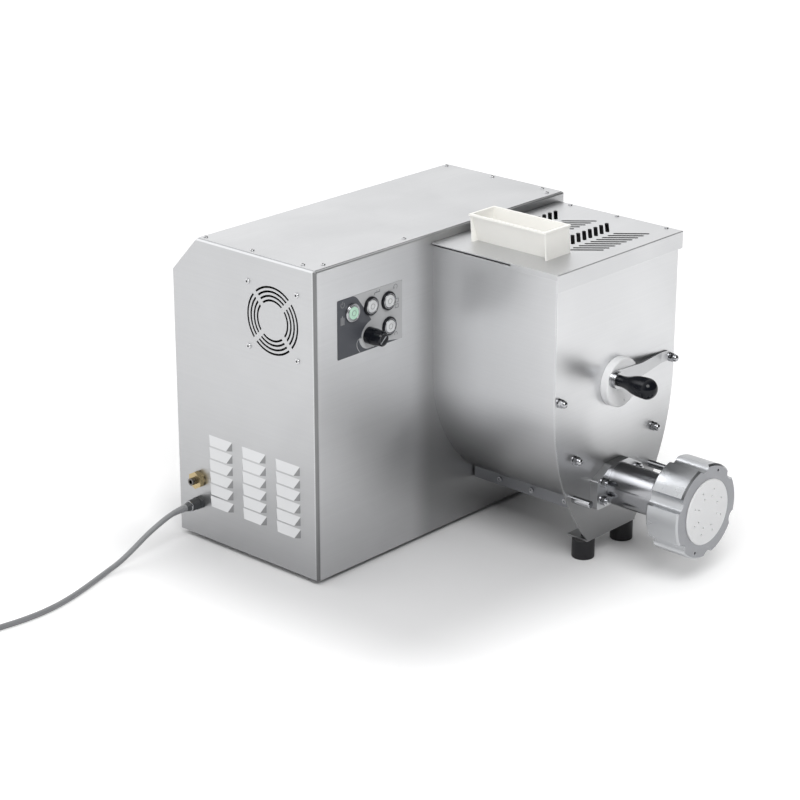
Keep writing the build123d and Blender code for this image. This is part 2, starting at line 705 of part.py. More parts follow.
def mixing_trough():
    back = -TROUGH_FRONT + PLATE_T
    walls = plate_y(trough_section(0), back, 0) - plate_y(
        trough_section(TROUGH_WALL, TROUGH_FLOOR - 1, TROUGH_RIM + 1), back + PLATE_T, -PLATE_T)
    mouth_top = TROUGH_RIM - MOUTH_BORDER
    mouth = Pos(MIX_X, MIX_Z) * Circle(MOUTH_R)
    mouth += Pos(MIX_X, (MIX_Z + mouth_top) / 2) * Rectangle(2 * MOUTH_R, mouth_top - MIX_Z)
    mouth += Pos(MIX_X, (MIX_Z + AUG_Z) / 2) * Rectangle(2 * BORE_R, MIX_Z - AUG_Z)
    mouth += Pos(MIX_X, AUG_Z) * Circle(BORE_R)
    walls -= plate_y(mouth, back - 1, back + PLATE_T)
    for z in (MIX_Z, AUG_Z):
        walls -= rod_y(MIX_X, z, SEAL_R, -PLATE_T - 1, 1)
    for x, z in case_bolt_places():
        walls -= rod_y(x, z, CASE_BOLT_R, -PLATE_T - 1, 1)
    for x, z in acorn_places() + barrel_nut_places():
        walls -= rod_y(x, z, SMALL_STUD_R + 0.2, back - 1, back + PLATE_T)
    return walls


def auger_bed():
    back = -TROUGH_FRONT + PLATE_T
    under = block(MIX_X - BED_HALF, MIX_X + BED_HALF, back, -PLATE_T, BED_UNDER, TROUGH_FLOOR)
    wall_top = AUG_Z + BED_SLOPE * (TROUGH_HALF - BORE_R)
    wedge = closed_face([
        (MIX_X - TROUGH_HALF, TROUGH_FLOOR),
        (MIX_X + TROUGH_HALF, TROUGH_FLOOR),
        (MIX_X + TROUGH_HALF, wall_top),
        (MIX_X + BORE_R, AUG_Z),
        (MIX_X - BORE_R, AUG_Z),
        (MIX_X - TROUGH_HALF, wall_top),
    ])
    inside = plate_y(wedge, back + PLATE_T, -PLATE_T) & plate_y(
        trough_section(TROUGH_WALL, TROUGH_FLOOR, TROUGH_RIM), back + PLATE_T, -PLATE_T)
    bed = under + inside
    bed -= rod_y(MIX_X, AUG_Z, BORE_R, back - 1, 0)
    for side in (-1, 1):
        for y in BED_SCREWS_Y:
            face = MIX_X + side * BED_HALF
            bed -= rod_x(-y, BED_SCREW_Z, BED_SHANK_R + 0.1, face, face - side * 14)
    return bed


def bed_screws():
    screws = []
    for side in (-1, 1):
        face = MIX_X + side * BED_HALF
        for y in BED_SCREWS_Y:
            head = rod_x(-y, BED_SCREW_Z, BED_SCREW_R, face, face + side * 3)
            shank = rod_x(-y, BED_SCREW_Z, BED_SHANK_R, face - side * 12, face)
            socket = rod_x(-y, BED_SCREW_Z, 2.0, face + side * 1.5, face + side * 4)
            screws.append(head + shank - socket)
    return screws


def shaft_seals():
    seals = []
    for z in (MIX_Z, AUG_Z):
        seals.append(tube_y(MIX_X, z, SEAL_R, SHAFT_R + FIT, -PLATE_T, 1))
    return seals


def front_plate():
    high = TROUGH_RIM
    outline = trough_outline(TROUGH_HALF, FACE_ARC_Z, FACE_ARC_R, FACE_FOOT_Z, high)
    plate = plate_y(outline, -TROUGH_FRONT, -TROUGH_FRONT + PLATE_T)
    foot = block(
        MIX_X - FACE_FOOT_HALF, MIX_X + FACE_FOOT_HALF,
        -TROUGH_FRONT, -TROUGH_FRONT + FACE_FOOT_DEEP,
        FACE_FOOT_Z, FACE_FOOT_Z + PLATE_T,
    )
    plate += foot
    plate -= rod_y(MIX_X, MIX_Z, PLATE_HOLE_R, -TROUGH_FRONT - 1, -TROUGH_FRONT + PLATE_T + 1)
    plate -= rod_y(MIX_X, AUG_Z, BORE_R, -TROUGH_FRONT - 1, -TROUGH_FRONT + PLATE_T + 1)
    for x, z in acorn_places() + barrel_nut_places():
        plate -= rod_y(x, z, SMALL_STUD_R + 0.2, -TROUGH_FRONT - 1, -TROUGH_FRONT + PLATE_T + 1)
    for side in (-1, 1):
        x = MIX_X + side * FOOT_X
        plate -= rod_z(x, -FOOT_Y, FOOT_STUD_R, FACE_FOOT_Z - 1, FACE_FOOT_Z + PLATE_T + 1)
    return plate


def acorn_nuts():
    nuts = []
    face = -TROUGH_FRONT
    for x, z in acorn_places():
        dome_r = ACORN_R * 0.86
        crown = face - ACORN_L + dome_r
        nut = rod_y(x, z, ACORN_R + 0.5, face - 1.2, face)
        nut += hex_y(x, z, ACORN_R, face - 8.2, face - 1.2)
        nut += rod_y(x, z, dome_r, crown, face - 8) + Pos(x, crown, z) * Sphere(dome_r)
        nuts.append(nut + rod_y(x, z, SMALL_STUD_R, face, face + 2 * PLATE_T))
    return nuts


def cutter_studs():
    studs = []
    for side in (-1, 1):
        x = MIX_X + side * STUD_X
        stud = rod_y(x, AUG_Z, STUD_R, -TROUGH_FRONT - STUD_L, -TROUGH_FRONT)
        rim = stud.edges().filter_by(GeomType.CIRCLE).sort_by(Axis.Y)[0]
        studs.append(chamfer(rim, 1.0))
    return studs


def rubber_feet():
    feet = []
    for side in (-1, 1):
        foot = rod_z(MIX_X + side * FOOT_X, -FOOT_Y, FOOT_R, 0, FACE_FOOT_Z)
        rims = foot.edges().filter_by(GeomType.CIRCLE)
        foot = fillet(rims, 1.5)
        stud = rod_z(MIX_X + side * FOOT_X, -FOOT_Y, FOOT_STUD_R, FACE_FOOT_Z, FACE_FOOT_Z + PLATE_T + 8)
        feet.append(foot + stud)
    return feet


# ================================================================ lid and funnel
def vent_slots():
    """Two bands of slots in a herringbone, each with a row leaning either way."""
    slots = []
    for band in range(2):
        near = band * VENT_PITCH_Y
        for i in range(VENT_COUNT):
            x = VENT_X + i * VENT_PITCH_X
            for x0, y0, x1, y1 in VENT_ROWS:
                slots.append(vent_slot(x + x0, -y0 - near, x + x1, -y1 - near))
    return slots


def vent_slot(x0, y0, x1, y1):
    angle = degrees(atan2(y1 - y0, x1 - x0))
    slot = SlotOverall(hypot(x1 - x0, y1 - y0), VENT_W)
    outline = Pos((x0 + x1) / 2, (y0 + y1) / 2) * Rot(0, 0, angle) * slot
    return extrude(Plane.XY.offset(LID_TOP - LID_T - 1) * outline, amount=LID_T + 2)


def lid():
    plate = block(LID_X0, LID_X1, -LID_FRONT, -1, LID_TOP - LID_FRONT_DROP, LID_TOP)
    plate = fillet(end_edge(plate, Axis.X, MIX_X, -LID_FRONT, LID_TOP), 1.5)
    hollow = block(LID_X0 - 1, LID_X1 + 1, -LID_FRONT + LID_T, 0, 0, LID_TOP - LID_T)
    shell = plate - hollow
    side = block(LID_X0, LID_X0 + LID_T, -LID_FRONT, -LID_SIDE_BACK, TROUGH_RIM - 3, LID_TOP - LID_T)
    shell += side
    x0, x1, y0, y1 = FUNNEL_FOOT
    shell -= block(x0 + FUNNEL_WALL, x1 - FUNNEL_WALL, -y1 + FUNNEL_WALL, -y0 - FUNNEL_WALL, 0, LID_TOP + 1)
    shell -= vent_slots()
    for y in KNUCKLES_Y:
        shell -= rod_z(RIVET_X, -y, RIVET_R, LID_TOP - LID_T - 1, LID_TOP + 1)
    return shell


def lid_leaf():
    under = LID_TOP - LID_T
    leaf_y0, leaf_y1 = -KNUCKLES_Y[-1] - KNUCKLE_L / 2, -KNUCKLES_Y[0] + KNUCKLE_L / 2
    leaf_x = HINGE_X - LID_LEAF_W
    leaf = block(leaf_x, HINGE_X - 4, leaf_y0, leaf_y1, under - HINGE_LEAF_T, under)
    for y in KNUCKLES_Y:
        y0, y1 = -y - KNUCKLE_L / 2, -y + KNUCKLE_L / 2
        leaf += block(leaf_x, HINGE_X + 2, y0, y1, under - HINGE_LEAF_T, under)
        leaf += rod_y(HINGE_X, HINGE_Z, HINGE_R, y0, y1)
        leaf += block(HINGE_X - 2, HINGE_X + 2, y0, y1, HINGE_Z + 1.8, under)
        leaf -= rod_y(HINGE_X, HINGE_Z, HINGE_PIN_R + FIT, y0 - 1, y1 + 1)
        leaf -= rod_z(RIVET_X, -y, RIVET_R, under - HINGE_LEAF_T - 1, under + 1)
    return leaf


def lid_rivets():
    rivets = []
    for y in KNUCKLES_Y:
        head = rod_z(RIVET_X, -y, RIVET_HEAD_R, LID_TOP, LID_TOP + 1.5)
        rim = head.edges().filter_by(GeomType.CIRCLE).sort_by(Axis.Z)[-1]
        head = fillet(rim, 1.0)
        rivets.append(head + rod_z(RIVET_X, -y, RIVET_R, LID_TOP - LID_T - HINGE_LEAF_T, LID_TOP))
    return rivets


def wall_leaf():
    """The hinge's fixed leaf, with its pin staked in."""
    wall = MIX_X + TROUGH_HALF
    leaf_y0, leaf_y1 = -KNUCKLES_Y[-1] - KNUCKLE_L / 2, -KNUCKLES_Y[0] + KNUCKLE_L / 2
    leaf = block(wall, wall + HINGE_LEAF_T, leaf_y0, leaf_y1, HINGE_Z - WALL_LEAF_H, HINGE_Z - 4)
    for near, far in zip(KNUCKLES_Y[:-1], KNUCKLES_Y[1:]):
        y0 = -far + KNUCKLE_L / 2 + GAP
        y1 = -near - KNUCKLE_L / 2 - GAP
        leaf += block(wall, HINGE_X - 1.5, y0, y1, HINGE_Z - 6, HINGE_Z)
        leaf += block(wall, HINGE_X, y0, y1, HINGE_Z - 3, HINGE_Z - 1.5)
        leaf += rod_y(HINGE_X, HINGE_Z, HINGE_R, y0, y1)
    return leaf + rod_y(HINGE_X, HINGE_Z, HINGE_PIN_R, leaf_y0 - 1, leaf_y1 + 1)


def box_section(bounds, inset, z):
    x0, x1, y0, y1 = bounds
    width, depth = x1 - x0 - 2 * inset, y1 - y0 - 2 * inset
    return Plane.XY.offset(z) * Pos((x0 + x1) / 2, -(y0 + y1) / 2) * Rectangle(width, depth)


def funnel():
    """Two long walls that slope in towards the lid, between two upright end plates."""
    outer = loft([box_section(FUNNEL_FOOT, 0, LID_TOP), box_section(FUNNEL_RIM, 0, FUNNEL_TOP)])
    inner = loft([
        box_section(FUNNEL_FOOT, FUNNEL_WALL, LID_TOP),
        box_section(FUNNEL_RIM, FUNNEL_WALL, FUNNEL_TOP),
    ])
    lip = loft([
        box_section(FUNNEL_RIM, -FUNNEL_LIP, FUNNEL_TOP - 3),
        box_section(FUNNEL_RIM, -FUNNEL_LIP, FUNNEL_TOP),
    ])
    x0, x1, y0, y1 = FUNNEL_RIM
    foot_x0, foot_x1 = FUNNEL_END
    end = closed_face([(foot_x0, LID_TOP), (foot_x1, LID_TOP), (x1, FUNNEL_TOP), (x0, FUNNEL_TOP)])
    ends = plate_y(end, -y1, -y1 + FUNNEL_WALL) + plate_y(end, -y0 - FUNNEL_WALL, -y0)
    return outer + lip + ends - inner


# ================================================================ barrel, ring, die
def barrel_flange_outline():
    return closed_face([
        (-FLANGE_HALF, -FLANGE_LOW),
        (FLANGE_HALF, -FLANGE_LOW),
        (FLANGE_HALF, FLANGE_SIDE_TOP),
        (FLANGE_TOP_HALF, FLANGE_TOP),
        (-FLANGE_TOP_HALF, FLANGE_TOP),
        (-FLANGE_HALF, FLANGE_SIDE_TOP),
    ])


def barrel():
    face = -TROUGH_FRONT
    outline = fillet(barrel_flange_outline().vertices(), 5)
    flange = plate_y(Pos(MIX_X, AUG_Z) * outline, face - FLANGE_T, face)
    body = flange + rod_y(MIX_X, AUG_Z, BARREL_R, -HEAD_Y1, face - FLANGE_T)
    body += rod_y(MIX_X, AUG_Z, HEAD_R, -HEAD_Y1, -HEAD_Y0)
    body -= rod_y(MIX_X, AUG_Z, BORE_R, -HEAD_Y1 - 1, face + 1)
    cone = Rot(90, 0, 0) * Cone(BORE_R, HEAD_MOUTH_R, HEAD_Y1 - HEAD_Y0 - 8)
    body -= Pos(MIX_X, -(HEAD_Y0 + 8 + HEAD_Y1) / 2, AUG_Z) * cone
    for x, z in barrel_nut_places():
        body -= rod_y(x, z, BARREL_STUD_R + 0.2, face - FLANGE_T - 1, face + 1)
    return body


def barrel_nuts():
    nuts = []
    face = -TROUGH_FRONT - FLANGE_T
    for x, z in barrel_nut_places():
        nut = rod_y(x, z, 8.0, face - 1.5, face) + hex_y(x, z, NUT_M8_R, face - 8, face - 1.5)
        stud = rod_y(x, z, BARREL_STUD_R, face - 11.5, -TROUGH_FRONT)
        stud += rod_y(x, z, SMALL_STUD_R, face, -TROUGH_FRONT + 2 * PLATE_T)
        nuts.append(nut + stud)
    return nuts


def ring_nut():
    body = rod_y(MIX_X, AUG_Z, RING_R, -RING_Y1, -RING_Y0)
    rims = body.edges().filter_by(GeomType.CIRCLE)
    body = chamfer(rims, 3.0)
    for i in range(RING_LOBES):
        x, z = polar(RING_R + RING_GROOVE_OUT, RING_PHASE + i * 360 / RING_LOBES, MIX_X, AUG_Z)
        body -= rod_y(x, z, RING_GROOVE_R, -RING_Y1 - 1, -RING_Y0 + 1)
    body -= rod_y(MIX_X, AUG_Z, HEAD_R + FIT, -RING_Y1 + RING_LIP, -RING_Y0 + 1)
    body -= rod_y(MIX_X, AUG_Z, DIE_NOSE_R + GAP, -RING_Y1 - 1, -RING_Y1 + RING_LIP + 1)
    for angle in (RING_PHASE + 30, RING_PHASE + 210):
        x, z = polar((RING_R + DIE_NOSE_R) / 2 + 2, angle, MIX_X, AUG_Z)
        body -= rod_y(x, z, 2.2, -RING_Y1 - 1, -RING_Y1 + 4)
    return body


def die():
    back, shoulder = -HEAD_Y1 - GAP, -RING_Y1 + RING_LIP + GAP
    body = rod_y(MIX_X, AUG_Z, DIE_FLANGE_R, shoulder, back)
    body += rod_y(MIX_X, AUG_Z, DIE_NOSE_R, -DIE_FRONT, shoulder)
    nose = body.edges().filter_by(GeomType.CIRCLE).sort_by(Axis.Y)[0]
    body = fillet(nose, 1.5)
    for radius, count, hole in DIE_HOLES:
        for i in range(count):
            x, z = polar(radius, 22.5 + i * 360 / count, MIX_X, AUG_Z)
            body -= rod_y(x, z, hole, -DIE_FRONT - 1, back + 1)
    return body


# ================================================================ front bearing and latch
def bearing_disc():
    body = rod_y(MIX_X, MIX_Z, DISC_R, -DISC_FRONT, -TROUGH_FRONT - GAP)
    rim = body.edges().filter_by(GeomType.CIRCLE).sort_by(Axis.Y)[0]
    body = fillet(rim, 3.0)
    body += rod_y(MIX_X, MIX_Z, DISC_SPIGOT_R, -TROUGH_FRONT - 1, -TROUGH_FRONT + 2 * PLATE_T)
    body -= rod_y(MIX_X, MIX_Z, SHAFT_R + FIT, -DISC_FRONT + 5, -TROUGH_FRONT + 3 * PLATE_T)
    body -= rod_y(MIX_X + 4, MIX_Z - 30, 1.5, -DISC_FRONT - 1, -DISC_FRONT + 4)
    return body


def latch_lever():
    """Flat bar from under the handle's collar, across the disc and down a long slope to the plate."""
    face = -DISC_FRONT
    low = -TROUGH_FRONT - GAP
    root, reach = MIX_X + DISC_R + 3, MIX_X + LEVER_REACH
    x, z = GRIP_XZ
    bar = closed_face([
        (x, z - COLLAR_R),
        (reach, MIX_Z + LEVER_RISE - LEVER_HALF_TIP),
        (reach, MIX_Z + LEVER_RISE + LEVER_HALF_TIP),
        (x, z + COLLAR_R),
    ])
    outline = plate_y(bar + Pos(x, z) * Circle(COLLAR_R), face - LEVER_T, low)
    path = closed_face([
        (x - COLLAR_R - 1, face - LEVER_T),
        (root, face - LEVER_T),
        (root + LEVER_RAMP, low - LEVER_T),
        (reach + 1, low - LEVER_T),
        (reach + 1, low),
        (root + LEVER_RAMP, low),
        (root, face),
        (x - COLLAR_R - 1, face),
    ])
    band = extrude(Plane.XY.offset(MIX_Z - 50) * path, amount=100)
    return (outline & band) + rod_y(x, z, COLLAR_R, face - LEVER_T - COLLAR_L, face - LEVER_T)


def latch_handle():
    start = DISC_FRONT + LEVER_T + COLLAR_L
    length = HANDLE_END - start
    fat = HANDLE_FAT_Y - start - 6
    dome_mid = (length ** 2 - fat ** 2 - HANDLE_FAT_R ** 2) / (2 * (length - fat))
    dome_r = length - dome_mid
    half = atan2(HANDLE_FAT_R, fat - dome_mid) / 2
    profile = make_face([
        Line((0, 0), (HANDLE_NECK_R, 0)),
        Line((HANDLE_NECK_R, 0), (HANDLE_NECK_R, 4)),
        Spline(
            (HANDLE_NECK_R, 4), (HANDLE_FAT_R - 2.5, fat * 0.55), (HANDLE_FAT_R, fat),
            tangents=((0, 1), (0, 1)),
        ),
        ThreePointArc(
            (HANDLE_FAT_R, fat),
            (dome_r * sin(half), dome_mid + dome_r * cos(half)),
            (0, length),
        ),
        Line((0, length), (0, 0)),
    ])
    body = revolve(profile, axis=Axis.Y)
    x, z = GRIP_XZ
    return Pos(x, -start, z) * Rot(180, 0, 0) * body


# ================================================================ mixer, auger and drive
def gear_outline(teeth, module, phase_deg):
    """Spur gear with straight-sided teeth, thinned for free running; phase is a tooth's direction."""
    pitch_r = teeth * module / 2
    tip_r = pitch_r + 0.75 * module
    root_r = pitch_r - 1.1 * module
    step = 360 / teeth
    points = []
    for i in range(teeth):
        middle = phase_deg + i * step
        for radius, share in ((root_r, -0.29), (tip_r, -0.11), (tip_r, 0.11), (root_r, 0.29)):
            points.append(polar(radius, middle + share * step))
    return closed_face(points)


def gear(teeth, module, phase_deg, x, z, y0, y1):
    return plate_y(Pos(x, z) * gear_outline(teeth, module, phase_deg), y0, y1)


def meshed_phase(phase, teeth, direction, other_teeth):
    """Phase of a gear that meshes with another, which lies in the given direction from it."""
    step, other_step = 360 / teeth, 360 / other_teeth
    part = ((direction - phase) / step) % 1
    return direction + 180 - other_step * (0.5 - part)


PINION_X, PINION_Z = MIX_X - PINION_DX, MIX_Z - PINION_DZ
ROTOR_X = PINION_X - FINE_MODULE * (WHEEL_TEETH + ROTOR_TEETH) / 2
ROTOR_Z = PINION_Z
MIXER_PHASE = -90.0
AUGER_PHASE = meshed_phase(MIXER_PHASE, MIXER_TEETH, -90.0, AUGER_TEETH)
PINION_DIR = degrees(atan2(-PINION_DZ, -PINION_DX))
PINION_PHASE = meshed_phase(MIXER_PHASE, MIXER_TEETH, PINION_DIR, PINION_TEETH)
WHEEL_PHASE = 180.0
ROTOR_PHASE = meshed_phase(WHEEL_PHASE, WHEEL_TEETH, 180.0, ROTOR_TEETH)


def mixer_gear():
    wheel = gear(MIXER_TEETH, MODULE, MIXER_PHASE, MIX_X, MIX_Z, GEAR_Y0, GEAR_Y1)
    return wheel - rod_y(MIX_X, MIX_Z, SHAFT_R, GEAR_Y0 - 1, GEAR_Y1 + 1)


def auger_gear():
    wheel = gear(AUGER_TEETH, MODULE, AUGER_PHASE, MIX_X, AUG_Z, GEAR_Y0, GEAR_Y1)
    return wheel - rod_y(MIX_X, AUG_Z, SHAFT_R, GEAR_Y0 - 1, GEAR_Y1 + 1)


def output_pinion():
    pinion = gear(PINION_TEETH, MODULE, PINION_PHASE, PINION_X, PINION_Z, GEAR_Y0, GEAR_Y1)
    return pinion + rod_y(PINION_X, PINION_Z, SHAFT_R, SHEET + 4, WHEEL_Y1)


def reducer_wheel():
    wheel = gear(WHEEL_TEETH, FINE_MODULE, WHEEL_PHASE, PINION_X, PINION_Z, WHEEL_Y0, WHEEL_Y1)
    return wheel - rod_y(PINION_X, PINION_Z, SHAFT_R, WHEEL_Y0 - 1, WHEEL_Y1 + 1)


def mixing_shaft():
    front = -DISC_FRONT + 5 + GAP
    shaft = rod_y(MIX_X, MIX_Z, MIX_CORE_R, -TROUGH_FRONT + 3 * PLATE_T + GAP, -PLATE_T - GAP)
    shaft += rod_y(MIX_X, MIX_Z, SHAFT_R, front, CASE_BACK - 2)
    spacing = (TROUGH_FRONT - 2 * PLATE_T - PADDLE_L - 16) / 3
    for i in range(4):
        y = -PLATE_T - 8 - PADDLE_L / 2 - i * spacing
        arm = Pos(0, y, PADDLE_REACH / 2) * Cylinder(6, PADDLE_REACH - 10)
        blade = Pos(0, y, PADDLE_REACH - 14) * Rot(0, 0, 25) * Box(PADDLE_T, PADDLE_L, 24)
        one = Rot(0, 35 + 90 * i, 0) * (arm + blade)
        shaft += Pos(MIX_X, 0, MIX_Z) * one
    return shaft


def auger():
    """Screw with one flight; each turn is a twisted prism, and the turns are joined end to end."""
    tip = -HEAD_Y0 - 4
    core = rod_y(MIX_X, AUG_Z, AUGER_CORE_R, tip, -PLATE_T - GAP)
    core += rod_y(MIX_X, AUG_Z, SHAFT_R, -PLATE_T - 2, CASE_BACK - 2)
    half = FLIGHT_DEG / 2
    inner_r = AUGER_CORE_R - 2
    section = make_face([
        Line(polar(inner_r, -half), polar(AUGER_R, -half)),
        ThreePointArc(polar(AUGER_R, -half), polar(AUGER_R, 0), polar(AUGER_R, half)),
        Line(polar(AUGER_R, half), polar(inner_r, half)),
        ThreePointArc(polar(inner_r, half), polar(inner_r, 0), polar(inner_r, -half)),
    ])
    turn = Solid.extrude_linear_with_rotation(section.faces()[0], (0, 0, 0), (0, 0, AUGER_PITCH), 360)
    flight = turn
    for i in range(1, AUGER_TURNS):
        flight = flight + Pos(0, 0, i * AUGER_PITCH) * turn
    flight = Pos(MIX_X, -PLATE_T - 12, AUG_Z) * Rot(90, 0, 0) * flight
    return core + flight


def hull_outline(circles):
    edges = []
    for x, z, radius in circles:
        edges += (Pos(x, z) * Circle(radius)).edges()
    return make_hull(edges)


def case_outline(inset):
    return hull_outline([
        (MIX_X, MIX_Z, CASE_R - inset),
        (MIX_X, AUG_Z, CASE_LOW_R - inset),
        (PINION_X, PINION_Z, CASE_SIDE_R - inset),
    ])


def reducer_outline(side_r, motor_r):
    return hull_outline([(PINION_X, PINION_Z, side_r), (ROTOR_X, ROTOR_Z, motor_r)])


def gearbox_front():
    case = plate_y(case_outline(0), SHEET, CASE_Y1)
    case -= plate_y(case_outline(CASE_WALL), SHEET + BEARING_L + 2, CASE_Y1 + 1)
    for x, z in ((MIX_X, MIX_Z), (MIX_X, AUG_Z), (PINION_X, PINION_Z)):
        case -= rod_y(x, z, BEARING_R, SHEET + 2, SHEET + BEARING_L + 3)
    for z in (MIX_Z, AUG_Z):
        case -= rod_y(MIX_X, z, SHAFT_R + 8, SHEET - 1, SHEET + 3)
    for x, z in case_bolt_places():
        case -= rod_y(x, z, CASE_BOLT_R, SHEET - 1, CASE_Y1 + 1)
    return case


def gearbox_rear():
    """Rear half of the gearbox, with the hollow for the first gear stage cast on its back."""
    case = plate_y(case_outline(0), CASE_Y1, CASE_BACK)
    for x, z in ((MIX_X, MIX_Z), (MIX_X, AUG_Z), (PINION_X, PINION_Z)):
        case -= rod_y(x, z, BEARING_R, CASE_Y1 - 1, CASE_Y1 + BEARING_L)
    case += plate_y(reducer_outline(REDUCER_R, MOTOR_R), CASE_BACK, REDUCER_BACK)
    hollow = reducer_outline(REDUCER_R - REDUCER_WALL, MOTOR_BOSS_R)
    case -= plate_y(hollow, CASE_BACK + 4, REDUCER_BACK + 1)
    case -= rod_y(PINION_X, PINION_Z, SHAFT_R + 8, CASE_Y1 + BEARING_L - 1, CASE_BACK + 5)
    for x, z in case_bolt_places():
        case -= rod_y(x, z, CASE_BOLT_R, CASE_Y1 - 1, CASE_BACK + 1)
    return case


def case_bolts():
    bolts = []
    for x, z in case_bolt_places():
        bolt = rod_y(x, z, 5.5, -PLATE_T - 3, -PLATE_T) + rod_y(x, z, CASE_BOLT_R, -PLATE_T, CASE_BACK + 7)
        bolts.append(bolt + hex_y(x, z, 5.8, CASE_BACK, CASE_BACK + 5))
    return bolts


def shaft_bearings():
    rings = []
    for x, z in ((MIX_X, MIX_Z), (MIX_X, AUG_Z), (PINION_X, PINION_Z)):
        for y0 in (SHEET + 2, CASE_Y1):
            rings.append(tube_y(x, z, BEARING_R, SHAFT_R + FIT, y0, y0 + BEARING_L))
    return rings


def motor_flange():
    flange = plate_y(reducer_outline(REDUCER_R, MOTOR_R), REDUCER_BACK, MOTOR_Y0)
    boss_end = MOTOR_Y0 + SMALL_BEARING_L
    flange += tube_y(ROTOR_X, ROTOR_Z, MOTOR_BOSS_R, SMALL_BEARING_R, MOTOR_Y0, boss_end)
    return flange - rod_y(ROTOR_X, ROTOR_Z, SMALL_SHAFT_R + 2, REDUCER_BACK - 1, MOTOR_Y0 + 1)


def motor_barrel():
    middle, length = (MOTOR_Y0 + MOTOR_Y1) / 2, MOTOR_Y1 - MOTOR_Y0 - 20
    shell = rod_y(ROTOR_X, ROTOR_Z, MOTOR_R, MOTOR_Y0, MOTOR_Y1)
    for i in range(12):
        angle = i * 30 + 15
        x, z = polar(MOTOR_R + 1, angle, ROTOR_X, ROTOR_Z)
        shell += Pos(x, middle, z) * Rot(0, -angle, 0) * Box(6, length, 3)
    return shell - rod_y(ROTOR_X, ROTOR_Z, MOTOR_R - MOTOR_WALL, MOTOR_Y0 - 1, MOTOR_Y1 + 1)


def motor_end_cap():
    cap = rod_y(ROTOR_X, ROTOR_Z, MOTOR_R, MOTOR_Y1, MOTOR_Y1 + SMALL_BEARING_L + 3)
    return cap - rod_y(ROTOR_X, ROTOR_Z, SMALL_BEARING_R, MOTOR_Y1 - 1, MOTOR_Y1 + SMALL_BEARING_L)


def stator():
    return tube_y(ROTOR_X, ROTOR_Z, MOTOR_R - MOTOR_WALL, STATOR_BORE, STATOR_Y0, STATOR_Y1)


def rotor():
    """Motor rotor; the first pinion is cut on the end of its shaft."""
    core = rod_y(ROTOR_X, ROTOR_Z, ROTOR_R, STATOR_Y0, STATOR_Y1)
    core += rod_y(ROTOR_X, ROTOR_Z, SMALL_SHAFT_R, WHEEL_Y1, MOTOR_Y1 + SMALL_BEARING_L - 1)
    return core + gear(ROTOR_TEETH, FINE_MODULE, ROTOR_PHASE, ROTOR_X, ROTOR_Z, WHEEL_Y0, WHEEL_Y1)


def motor_bearings():
    rings = []
    for y0 in (MOTOR_Y0, MOTOR_Y1):
        y1 = y0 + SMALL_BEARING_L
        rings.append(tube_y(ROTOR_X, ROTOR_Z, SMALL_BEARING_R, SMALL_SHAFT_R + FIT, y0, y1))
    return rings


# ================================================================ cord
def cord_radii(points):
    radii = []
    for before, at, after in zip(points, points[1:], points[2:]):
        a, b, c = Vector(*before), Vector(*at), Vector(*after)
        turn = (b - a).get_angle(c - b)
        run = min((b - a).length, (c - b).length)
        radii.append(0.45 * run / tan(radians(turn) / 2))
    return radii


def power_cord():
    points = CORD_ROUTE
    radii = cord_radii(points)
    path = FilletPolyline(*points, radius=radii)
    start = Plane(origin=points[0], z_dir=Vector(*points[1]) - Vector(*points[0]))
    tube = sweep(start * Circle(CORD_R), path=path)
    section = pi * CORD_R ** 2
    print(f"cord: {path.length:.0f} mm, bends {min(radii):.0f} mm and up, volume is "
          f"{tube.volume / section / path.length:.3f} of section times length")
    return tube


def cord_coil():
    outer = COIL_MID_R + COIL_WIDE * CORD_R
    inner = COIL_MID_R - COIL_WIDE * CORD_R
    base, top = CORD_Z - CORD_R, CORD_Z - CORD_R + 2 * CORD_R * COIL_HIGH
    return rod_z(COIL_X, COIL_Y, outer, base, top) - rod_z(COIL_X, COIL_Y, inner, base - 1, top + 1)


def plug():
    """Two-pin plug, lying across the top of the coil."""
    y = COIL_Y + COIL_MID_R - CORD_R
    z = CORD_Z - CORD_R + 2 * CORD_R * COIL_HIGH + PLUG_R
    body = rod_x(y, z, PLUG_R, COIL_X - PLUG_L / 2, COIL_X + PLUG_L / 2)
    body = fillet(body.edges().filter_by(GeomType.CIRCLE), 3)
    for side in (-1, 1):
        body += rod_x(y + side * 9.5, z, 2.4, COIL_X + PLUG_L / 2, COIL_X + PLUG_L / 2 + 19)
    return body


